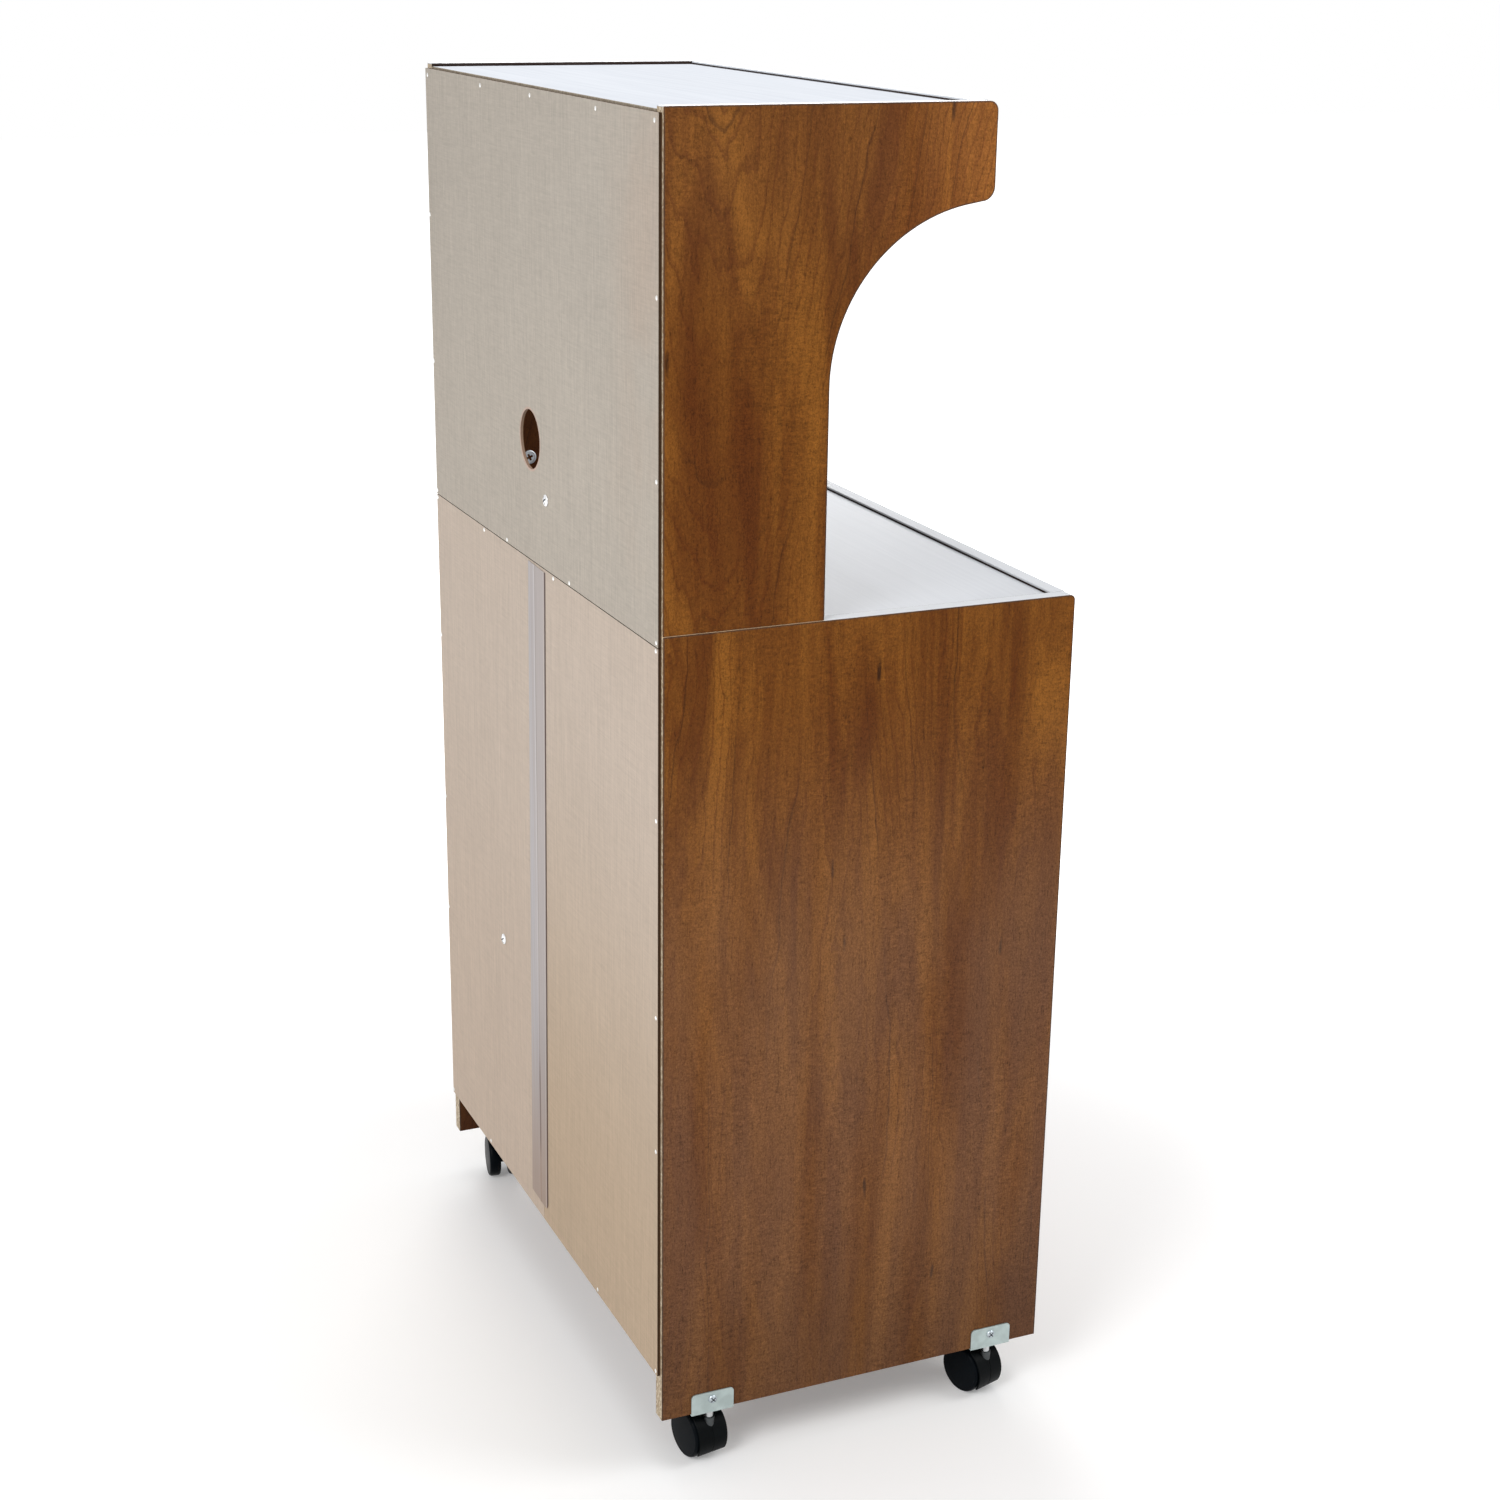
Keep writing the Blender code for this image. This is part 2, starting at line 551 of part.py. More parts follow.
def caster_brackets():
    """A plate bent under each side's bottom edge, where a caster's stem goes in."""
    t, r = BRACKET_THICKNESS, BRACKET_CORNER
    half, top = BRACKET_WIDTH / 2, BRACKET_RISE
    under = -SEAT_GAP - t
    corners = arc((half - r, top - r), r, 0.0, math.pi / 2, CORNER_STEPS)
    corners += arc((r - half, top - r), r, math.pi / 2, math.pi, CORNER_STEPS)
    shape = [(-half, under - BOARD), (half, under - BOARD), *corners]
    inner, outer = SEAT_GAP, SEAT_GAP + t
    bend = [(outer, under), (outer, top + r), (inner, top + r)]
    bend += [(inner, -SEAT_GAP), (-BOARD, -SEAT_GAP), (-BOARD, under)]
    for name, sign, end, y in caster_places():
        points = [(sign * u, v) for u, v in bend][::sign]
        place = (sign * HALF_WIDTH, y, BOTTOM_Z)
        obj = outline(points, 2 * BRACKET_WIDTH, place, IN_FRONT_PLANE)
        finish_part(obj, f"caster_bracket_{end}_{name}", ZINC)
        combine(obj, outline(shape, 4 * BOARD, place, IN_SIDE_PLANE), "INTERSECT")
        hole_low = Vector((sign * STEM_X, y, BOTTOM_Z - BOARD))
        hole_high = Vector((sign * STEM_X, y, BOTTOM_Z + BOARD))
        bore(obj, STEM_RADIUS + SEAT_GAP, hole_low, hole_high)


def hood_mesh():
    """A caster's hood: a web between the wheels, a fender over them and a boss for the stem.

    Its origin is on the floor under the stem, its axle runs along Y and its wheels trail towards +X.
    """
    axle = (TRAIL, WHEEL_RADIUS)
    middle = (FENDER_INNER + FENDER_OUTER) / 2
    fan_start, fan_end = FENDER_START + WEB_SHORT, FENDER_END - WEB_SHORT
    fan = arc(axle, middle, fan_start, fan_end, ARC_STEPS)
    fan += arc(axle, HUB_RADIUS, fan_end, fan_start + math.tau, ROUND_STEPS // 2)
    hood = outline(fan, WEB, (0.0, 0.0, 0.0), IN_FRONT_PLANE)
    shell = arc(axle, FENDER_OUTER, FENDER_START, FENDER_END, ARC_STEPS)
    shell += arc(axle, FENDER_INNER, FENDER_END, FENDER_START, ARC_STEPS)
    combine(hood, outline(shell, FENDER_WIDTH, (0.0, 0.0, 0.0), IN_FRONT_PLANE), "UNION")
    crown = WHEEL_RADIUS + math.sqrt(FENDER_OUTER ** 2 - TRAIL ** 2)
    boss = cylinder(BOSS_RADIUS, (0, 0, WHEEL_RADIUS), (0, 0, crown + BOSS_RISE), ROUND_STEPS)
    room = cylinder(middle, (0, 0, 0), (0, 0, 2 * WHEEL_WIDTH), 2 * ROUND_STEPS)
    room.rotation_euler.x = math.pi / 2
    room.location = (TRAIL, WEB / 2 + WHEEL_WIDTH, WHEEL_RADIUS)
    other_room = room.copy()
    other_room.location.y = -room.location.y
    combine(boss, room, "DIFFERENCE")
    CUTTERS.objects.link(other_room)
    combine(boss, other_room, "DIFFERENCE")
    combine(hood, as_mesh(boss), "UNION")
    bore(hood, STEM_RADIUS + SEAT_GAP, (0, 0, crown + BOSS_RISE - STEM_IN_BOSS), (0, 0, BOTTOM_Z))
    hole = cylinder(AXLE_RADIUS + SEAT_GAP, (0, 0, 0), (0, 0, 2 * WEB))
    hole.rotation_euler.x = math.pi / 2
    hole.location = (TRAIL, 0.0, WHEEL_RADIUS)
    combine(hood, hole, "DIFFERENCE")
    solid = as_mesh(hood)
    mesh = solid.data
    mesh.transform(solid.matrix_world)
    bpy.data.objects.remove(solid, do_unlink=True)
    return mesh


def stem_mesh():
    """A caster's stem, with the collar that bears under the bracket."""
    crown = WHEEL_RADIUS + math.sqrt(FENDER_OUTER ** 2 - TRAIL ** 2)
    foot = crown + BOSS_RISE - STEM_IN_BOSS + SEAT_GAP
    collar_top = BOTTOM_Z - BRACKET_THICKNESS - 2 * SEAT_GAP
    top = BOTTOM_Z + STEM_IN_BOARD
    r, collar = STEM_RADIUS, COLLAR_RADIUS
    profile = [(0.0, top), (r, top), (r, collar_top), (collar, collar_top)]
    profile += [(collar, collar_top - COLLAR_HEIGHT), (r, collar_top - COLLAR_HEIGHT), (r, foot), (0.0, foot)]
    solid = turned(profile, PIN_STEPS, (0.0, 0.0, 0.0))
    mesh = solid.data
    bpy.data.objects.remove(solid, do_unlink=True)
    return mesh


def wheel_mesh():
    """A wheel with its outer face up and its inner face at Z = 0, bored blind from inside for the axle."""
    r, w, c = WHEEL_RADIUS, WHEEL_WIDTH, WHEEL_CORNER
    bore_radius = AXLE_RADIUS + SEAT_GAP
    shoulder = arc((r - c, w - c), c, math.pi / 2, 0.0, CORNER_STEPS // 2)
    inner = [(r, c / 2), (r - c / 2, 0.0), (bore_radius, 0.0)]
    profile = [(0.0, w), *shoulder, *inner, (bore_radius, WHEEL_BORE_DEPTH), (0.0, WHEEL_BORE_DEPTH)]
    solid = turned(profile, ROUND_STEPS, (0.0, 0.0, 0.0))
    mesh = solid.data
    bpy.data.objects.remove(solid, do_unlink=True)
    return mesh


def caster_places():
    """Every caster as (side name, sign of X, end name, Y of its stem)."""
    ends = (("front", FRONT_STEM_Y), ("rear", REAR_STEM_Y))
    return [(name, sign, end, y) for end, y in ends for name, sign in sides()]


def copy_part(mesh, name, finish, parent, place, turn=(0.0, 0.0, 0.0)):
    obj = bpy.data.objects.new(name, mesh.copy())
    obj.location = place
    obj.rotation_euler = turn
    return finish_part(obj, name, finish, parent)


def casters():
    """Twin-wheel casters. At rest they trail inwards, the front ones turned further than the rear."""
    hood, stem, wheel = hood_mesh(), stem_mesh(), wheel_mesh()
    yaw = {"front": FRONT_YAW, "rear": REAR_YAW}
    reach = WEB / 2 + WHEEL_SIDE_GAP
    axle_half = reach + WHEEL_BORE_DEPTH - SEAT_GAP
    for name, sign, end, y in caster_places():
        label = f"caster_{end}_{name}"
        turn = yaw[end] if sign < 0 else math.pi - yaw[end]
        swivel = pivot(f"{label}_swivel", (sign * STEM_X, y, 0.0), turn)
        copy_part(hood, f"{label}_hood", HOOD_NYLON, swivel, (0.0, 0.0, 0.0))
        copy_part(stem, f"{label}_stem", STEEL, swivel, (0.0, 0.0, 0.0))
        pin = cylinder(AXLE_RADIUS, (0, 0, 0), (0, 0, 2 * axle_half))
        pin.location = (TRAIL, 0.0, WHEEL_RADIUS)
        pin.rotation_euler.x = math.pi / 2
        finish_part(pin, f"{label}_axle", STEEL, swivel)
        for letter, way in (("a", 1), ("b", -1)):
            place = (TRAIL, way * reach, WHEEL_RADIUS)
            copy_part(wheel, f"{label}_wheel_{letter}", WHEEL_NYLON, swivel, place, (-way * math.pi / 2, 0, 0))


# Places that more than one section shares
REAR_STEM_Y = BACK_Y - CASTER_FROM_EDGE
FRONT_STEM_Y = BACK_Y - SIDE_DEPTH + CASTER_FROM_EDGE
DOOR_PIN_X = SIDE_INNER - REVEAL - PIN_INSET
DOOR_PIN_Y = FACE_Y + BOARD / 2
DRAWER_LOW = DIVIDER_TOP + DRAWER_FLOOR_CLEARANCE
SCREW_HOLE = SCREW_SHANK_RADIUS + SEAT_GAP
SCREW_DEPTH = SCREW_SHANK_LENGTH - HARDBOARD

lower_sides()
cabinet_boards()
hutch_sides()
hutch_boards()
back_panels()
back_screws()
drawer()
doors()
caster_brackets()
casters()
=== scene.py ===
"""Looks of the microwave cart: its finishes, and the small pieces that the solids leave out.

Metres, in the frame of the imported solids: +Z up, the doors towards -Y, the hardboard back towards +Y.
"""

import json
import math

import bmesh
import bpy
from mathutils import Matrix, Vector


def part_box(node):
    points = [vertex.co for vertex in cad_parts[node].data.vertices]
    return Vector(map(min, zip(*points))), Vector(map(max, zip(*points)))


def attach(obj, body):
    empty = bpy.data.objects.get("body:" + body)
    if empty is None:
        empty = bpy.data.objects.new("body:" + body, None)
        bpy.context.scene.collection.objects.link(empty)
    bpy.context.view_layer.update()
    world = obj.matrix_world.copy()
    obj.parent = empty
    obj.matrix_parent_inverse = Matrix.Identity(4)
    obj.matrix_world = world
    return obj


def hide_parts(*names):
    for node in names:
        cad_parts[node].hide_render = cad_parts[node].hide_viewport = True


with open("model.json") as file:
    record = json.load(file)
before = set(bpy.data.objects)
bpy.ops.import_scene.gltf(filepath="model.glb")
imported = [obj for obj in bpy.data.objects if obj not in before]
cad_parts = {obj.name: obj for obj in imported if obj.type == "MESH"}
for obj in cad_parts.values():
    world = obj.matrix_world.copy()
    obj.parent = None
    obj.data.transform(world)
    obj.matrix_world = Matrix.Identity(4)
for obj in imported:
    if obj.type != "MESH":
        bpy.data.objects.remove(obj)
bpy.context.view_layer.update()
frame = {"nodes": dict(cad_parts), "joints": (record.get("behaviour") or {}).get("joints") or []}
NODES = frame["nodes"]
JOINTS = {joint["name"]: joint for joint in frame["joints"]}

SIDES = {"left": -1, "right": 1}
CASTERS = [f"caster_{end}_{side}" for end in ("front", "rear") for side in SIDES]

# Faces and edges that the small pieces sit on
BACK_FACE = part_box("hutch_back_panel")[1].y
SIDE_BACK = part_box("lower_side_left")[1].y
SIDE_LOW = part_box("lower_side_left")[0].z
SIDE_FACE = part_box("lower_side_right")[1].x
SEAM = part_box("lower_side_left")[1].z
HUTCH_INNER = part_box("hutch_side_right")[0].x
DOOR_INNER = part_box("door_left")[1].y

# Outline of the side boards, as cut
HUTCH_CUT = 0.150
HUTCH_FOOT = 0.150
NOSE_HEIGHT = 0.082
NOSE_TOP_RADIUS = 0.008
NOSE_LOW_RADIUS = 0.012
SIDE_CORNER_RADIUS = 0.005

# Thin lines on the boards: the edge of the banding, the shaded lip above a pale board, a lapped edge
EDGE_LINE = 0.0013
LIP = 0.0034
LAP = 0.0015

# How far in from a surface its own finish reaches
EDGE_SKIN = 0.0009
FACE_SKIN = 0.0004
HARDBOARD_SKIN = 0.0003

# Growth lines of the cherry print, per metre. Round a heart they bow, steeper than wide.
GROWTH_LINES = 84.0
BOWED_LINES = 24.0
BOW_STEEPNESS = 5.0
HEART_ROUND = 0.03

# Cable hole in the hutch's back
HOLE_X = 0.008
HOLE_Z = 0.9278
HOLE_RADIUS = 0.0285

# Plastic strip over the joint of the lower back. It hangs a little crooked, and a bead along it leans less.
STRIP_WIDTH = 0.048
STRIP_THICKNESS = 0.0006
STRIP_CORNER = 0.006
STRIP_TILT = math.radians(1.5)
BEAD_LEAN = math.radians(0.65)
BEAD_X = 0.0032
BEAD_RISE = 0.0003

# Caster, in its own frame: stem over the origin, axle along Y, wheels trailing towards +X
WHEEL_RADIUS = 0.024
WHEEL_INSIDE = 0.0053
TRAIL = 0.017
HOOD_RADIUS = 0.02645
HOOD_WALL = 0.0015
HOOD_WIDTH = 0.030
HOOD_FROM = math.radians(62)
HOOD_TO = math.radians(214)
HOOD_SIDES = 120
WEB_WIDTH = 0.008

# Fixings
NAIL_RADIUS = 0.0021
SCREW_HEAD_RADIUS = 0.0057
SCREW_HEAD_HEIGHT = 0.0022
PLATE_SCREW_RADIUS = 0.0042
PLATE_SCREW_RISE = 0.0125
CAM_RADIUS = 0.0075
CAM_FACE = 0.0003
CAM_RISE = 0.024

# Cherry print, its banding and the boards' edges, with the painted shade of inner faces and lips, and a
# painted sheen
CHERRY_DARK = (0.088, 0.0222, 0.0043)
CHERRY_MID = (0.168, 0.0540, 0.0085)
CHERRY_LIGHT = (0.278, 0.1045, 0.0165)
CHERRY_INSIDE_SHADE = (0.044, 0.0135, 0.0085)
CHERRY_SHEEN = (0.215, 0.120, 0.075)
CHERRY_VEIN = (0.026, 0.0085, 0.0030)
BAND_BROWN = (0.026, 0.011, 0.006)
BAND_LINE = (0.060, 0.044, 0.036)
LIP_SHADE = (0.012, 0.011, 0.012)
LEDGE_CREAM = (0.90, 0.70, 0.46)
PALE_EDGE = (0.60, 0.62, 0.65)

# Bare particleboard and pale laminate
CHIP_DARK = (0.40, 0.29, 0.18)
CHIP_PALE = (0.74, 0.64, 0.48)
CHIP_DUST = (0.26, 0.24, 0.21)
LAMINATE_DARK = (0.500, 0.521, 0.560)
LAMINATE_PALE = (0.540, 0.560, 0.596)

# Hardboard: its fibre at the edges, its bare inner face, marks on its outer face and the rim of the hole
FIBRE_DARK = (0.030, 0.017, 0.009)
FIBRE_BROWN = (0.080, 0.046, 0.026)
INNER_DARK = (0.19, 0.11, 0.06)
INNER_BROWN = (0.25, 0.15, 0.08)
PANEL_STAIN = (0.50, 0.37, 0.285)
PANEL_SPECK = (0.20, 0.14, 0.10)
HOLE_WALL = (0.30, 0.20, 0.145)
HOLE_RIM = (0.62, 0.46, 0.38)
DRAWER_DARK = (0.24, 0.15, 0.085)
DRAWER_BROWN = (0.40, 0.27, 0.165)

# Plastic strip, with a painted shadow at its rim and painted highlights on its lip and bead
STRIP_DARK = (0.375, 0.325, 0.312)
STRIP_PALE = (0.420, 0.368, 0.352)
STRIP_RIB = (0.46, 0.45, 0.48)
STRIP_FOOT = (0.350, 0.236, 0.170)
STRIP_CREST_HIGHLIGHT = (0.70, 0.68, 0.68)
STRIP_LIP_HIGHLIGHT = (0.62, 0.54, 0.49)
STRIP_GAP = (0.13, 0.085, 0.075)
STRIP_RIM_SHADOW = (0.085, 0.048, 0.040)

# Room
WHITE = (1.0, 1.0, 1.0)
BLACK = (0.0, 0.0, 0.0)
ROOM_LIGHT = 0.42
FLOOR_GLOW = 0.22


class Wire:
    """An output socket, with the operators that the shader maths uses."""

    def __init__(self, shading, socket):
        self.shading = shading
        self.socket = socket

    def maths(self, operation, *others):
        inputs = dict(enumerate((self, *others)))
        return self.shading.node("ShaderNodeMath", {"operation": operation}, inputs)

    def __add__(self, other):
        return self.maths("ADD", other)

    __radd__ = __add__

    def __sub__(self, other):
        return self.maths("SUBTRACT", other)

    def __rsub__(self, other):
        return (self * -1.0).maths("ADD", other)

    def __mul__(self, other):
        return self.maths("MULTIPLY", other)

    __rmul__ = __mul__

    def __abs__(self):
        return self.maths("ABSOLUTE")

    def fraction(self):
        return self.maths("FRACT")

    def most(self, other):
        return self.maths("MAXIMUM", other)

    def above(self, limit):
        return self.maths("GREATER_THAN", limit)

    def below(self, limit):
        return self.maths("LESS_THAN", limit)

    def smooth(self, low, high):
        """Rises from 0 at low to 1 at high."""
        settings = {"interpolation_type": "SMOOTHSTEP"}
        inputs = {"Value": self, "From Min": low, "From Max": high}
        return self.shading.node("ShaderNodeMapRange", settings, inputs)


class Shading:
    """The nodes of a material or of the room, and the shader that they feed."""

    def __init__(self, tree, shader):
        self.tree = tree
        self.shader = tree.nodes[shader]

    def node(self, kind, settings=(), inputs=(), output=0):
        """Any node: its settings, then the values or wires of its sockets."""
        made = self.tree.nodes.new(kind)
        for name, value in dict(settings).items():
            setattr(made, name, value)
        for key, value in dict(inputs).items():
            if isinstance(value, Wire):
                self.tree.links.new(value.socket, made.inputs[key])
            else:
                made.inputs[key].default_value = value
        return Wire(self, made.outputs[output])

    def set(self, **values):
        """What is the same all over, on the shader's own sockets."""
        for socket, value in values.items():
            self.shader.inputs[socket.replace("_", " ")].default_value = value

    def feed(self, **wires):
        """What changes from place to place."""
        for socket, wire in wires.items():
            self.tree.links.new(wire.socket, self.shader.inputs[socket.replace("_", " ")])

    def seen(self):
        """1 for camera, mirror and see-through rays."""
        total = self.node("ShaderNodeLightPath", output="Is Camera Ray")
        for rays in ("Is Glossy Ray", "Is Transmission Ray"):
            total = total.most(self.node("ShaderNodeLightPath", output=rays))
        return total


class Finish(Shading):
    """A material in the making, with the nodes that this cart's finishes are built from."""

    def __init__(self, name, **values):
        self.material = bpy.data.materials.new(name)
        self.material.use_nodes = True
        super().__init__(self.material.node_tree, "Principled BSDF")
        self.set(**values)
        self.place = self.node("ShaderNodeTexCoord", output="Object")

    def axis(self, name):
        """One coordinate of the surface point."""
        return self.node("ShaderNodeSeparateXYZ", inputs={"Vector": self.place}, output=name)

    def mapped(self, scale, shift=0.0):
        inputs = {"Vector": self.place, "Scale": scale, "Location": (shift, shift * 1.7, shift * 0.6)}
        return self.node("ShaderNodeMapping", inputs=inputs)

    def noise(self, vector, scale=1.0, detail=2.0, roughness=0.5, distortion=0.0):
        inputs = {"Vector": vector, "Scale": scale, "Detail": detail}
        inputs.update({"Roughness": roughness, "Distortion": distortion})
        return self.node("ShaderNodeTexNoise", inputs=inputs, output="Fac")

    def distance(self, vector, point):
        inputs = {0: vector, 1: point}
        return self.node("ShaderNodeVectorMath", {"operation": "DISTANCE"}, inputs, "Value")

    def cells(self, vector, output="Distance"):
        return self.node("ShaderNodeTexVoronoi", inputs={"Vector": vector, "Scale": 1.0}, output=output)

    def cell_number(self, vector):
        """A number of its own for each cell, from 0 to 1."""
        return self.node("ShaderNodeRGBToBW", inputs={"Color": self.cells(vector, "Color")})

    def mix(self, factor, first, second):
        """A colour between two, each a wire or three numbers."""
        ends = [c if isinstance(c, Wire) else (*c, 1.0) for c in (first, second)]
        inputs = {0: factor, 6: ends[0], 7: ends[1]}
        return self.node("ShaderNodeMix", {"data_type": "RGBA"}, inputs, output=2)

    def scaled(self, colour, factor):
        """A colour made lighter or darker."""
        inputs = {0: colour, 3: factor}
        return self.node("ShaderNodeVectorMath", {"operation": "SCALE"}, inputs)

    def bump(self, height, distance, strength=1.0):
        inputs = {"Height": height, "Distance": distance, "Strength": strength}
        self.feed(Normal=self.node("ShaderNodeBump", inputs=inputs, output="Normal"))


def dress(node, finish):
    """Gives a solid its finish."""
    for slot in NODES[node].material_slots:
        slot.material = finish.material


def grain_scale(grain, across, along):
    """Scale of a pattern that is drawn out along the grain."""
    return tuple(along if axis == grain else across for axis in "XYZ")


def growth_lines(finish, grain, across, heart):
    """Growth lines, counted across the board. Round a heart they bow, one below the other."""
    if heart is None:
        return finish.axis(across) * GROWTH_LINES
    aside = finish.mapped(grain_scale(across, 0.0, 1.0))
    bow = finish.distance(aside, grain_scale(across, HEART_ROUND, heart))
    return (bow * BOW_STEEPNESS - finish.axis(grain)) * BOWED_LINES


def cherry_print(finish, grain, across, seed, arch, heart):
    """The printed cherry figure: mottled bands, growth lines, fine fibre, curl and a few pitch flecks."""

    def figure(wide, long, shift=0.0, detail=2.0, **more):
        vector = finish.mapped(grain_scale(grain, wide, long), seed + shift)
        return finish.noise(vector, detail=detail, **more)

    wander = figure(30.0, 10.0, 0.4, 3.0)
    mottle = figure(19.0, 3.0, 2.2, 6.0, roughness=0.56, distortion=0.8)
    bands = figure(34.0, 2.1, 0.0, 4.0, roughness=0.55, distortion=0.8)
    swell = figure(4.6, 1.3, 3.1, 1.0) * arch + wander * 0.35
    lines = growth_lines(finish, grain, across, heart)
    growth = (lines * 0.18 + swell).fraction()
    vein = growth.smooth(0.950, 0.976) * (1.0 - growth.smooth(0.980, 0.992))
    rings = (lines + swell * 5.2 + wander * 1.5).fraction()
    ring = rings.smooth(0.66, 0.93) * (1.0 - rings.smooth(0.94, 1.0))
    patch = figure(8.0, 4.5, 5.3).smooth(0.42, 0.60)
    fibre = figure(620.0, 420.0, 0.0, 3.0, roughness=0.75, distortion=0.7)
    strand = figure(130.0, 7.0, 4.4, 4.0, roughness=0.6, distortion=0.9)
    pores = figure(820.0, 75.0, 0.0, 1.0).smooth(0.57, 0.70)
    curl = figure(120.0, 360.0, 1.9, 4.0, roughness=0.66, distortion=1.0)
    curled = figure(12.0, 6.0, 6.6, 1.0).smooth(0.30, 0.62)
    fleck_place = finish.mapped(grain_scale(grain, 40.0, 8.0), seed + 8.7)
    chosen = finish.cell_number(fleck_place).above(0.55)
    spread = finish.cells(fleck_place) + figure(170.0, 60.0) * 0.17
    fleck = (1.0 - spread.smooth(0.12, 0.19)) * chosen
    colour = finish.mix(mottle.smooth(0.28, 0.72), CHERRY_DARK, CHERRY_LIGHT)
    colour = finish.mix(0.20, colour, CHERRY_MID)
    colour = finish.mix(bands.smooth(0.46, 0.66) * 0.42, colour, CHERRY_DARK)
    colour = finish.mix(ring * (0.11 + patch * 0.35), colour, CHERRY_DARK)
    colour = finish.mix(vein * patch * 0.48, colour, CHERRY_VEIN)
    colour = finish.mix(fleck * 0.85, colour, CHERRY_VEIN)
    tone = 0.03 + fibre * 2.00 + strand * 0.10 + (curl - 0.5) * curled * 1.40 - pores * 0.24
    return colour, tone, fibre + curl * 0.4


def particle_core(finish):
    """Bare particleboard: pressed chips, pale with some darker ones."""
    chips = finish.cell_number(finish.mapped((620.0, 620.0, 380.0)))
    dust = finish.noise(finish.mapped((1500.0, 1500.0, 1500.0)), detail=2.0)
    shade = finish.mix(chips.smooth(0.15, 0.95), CHIP_DARK, CHIP_PALE)
    return finish.scaled(shade, 0.66 + dust * 0.7)


def side_outline(finish, node):
    """1 along the outline of a side board, where the edge of its banding shows as a thin dark line."""
    low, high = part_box(node)
    depth, height = finish.axis("Y"), finish.axis("Z")
    in_plane = finish.mapped((0.0, 1.0, 1.0))
    top_radius = SIDE_CORNER_RADIUS
    line = depth.below(low.y + EDGE_LINE) + depth.above(high.y - EDGE_LINE) + height.above(high.z - EDGE_LINE)
    if node.startswith("hutch"):
        top_radius = NOSE_TOP_RADIUS
        nose = high.z - NOSE_HEIGHT
        centre = nose - HUTCH_CUT
        line += finish.distance(in_plane, (0.0, low.y, centre)).below(HUTCH_CUT + EDGE_LINE)
        line += depth.below(low.y + HUTCH_CUT + EDGE_LINE) * height.below(centre)
        y, z = low.y + NOSE_LOW_RADIUS, nose + NOSE_LOW_RADIUS
        round_off = finish.distance(in_plane, (0.0, y, z)).above(NOSE_LOW_RADIUS - EDGE_LINE)
        line += round_off * depth.below(y) * height.below(z)
    y, z = low.y + top_radius, high.z - top_radius
    round_off = finish.distance(in_plane, (0.0, y, z)).above(top_radius - EDGE_LINE)
    line += round_off * depth.below(y) * height.above(z)
    return line.smooth(0.0, 1.0)


def edge_shown(finish, look):
    """What an edge shows that isn't banded brown."""
    if look == "raw":
        return particle_core(finish)
    if look == "ledge":
        under_hutch = finish.axis("Y").above(SIDE_BACK - HUTCH_FOOT)
        return finish.mix(under_hutch, PALE_EDGE, LEDGE_CREAM)
    return PALE_EDGE


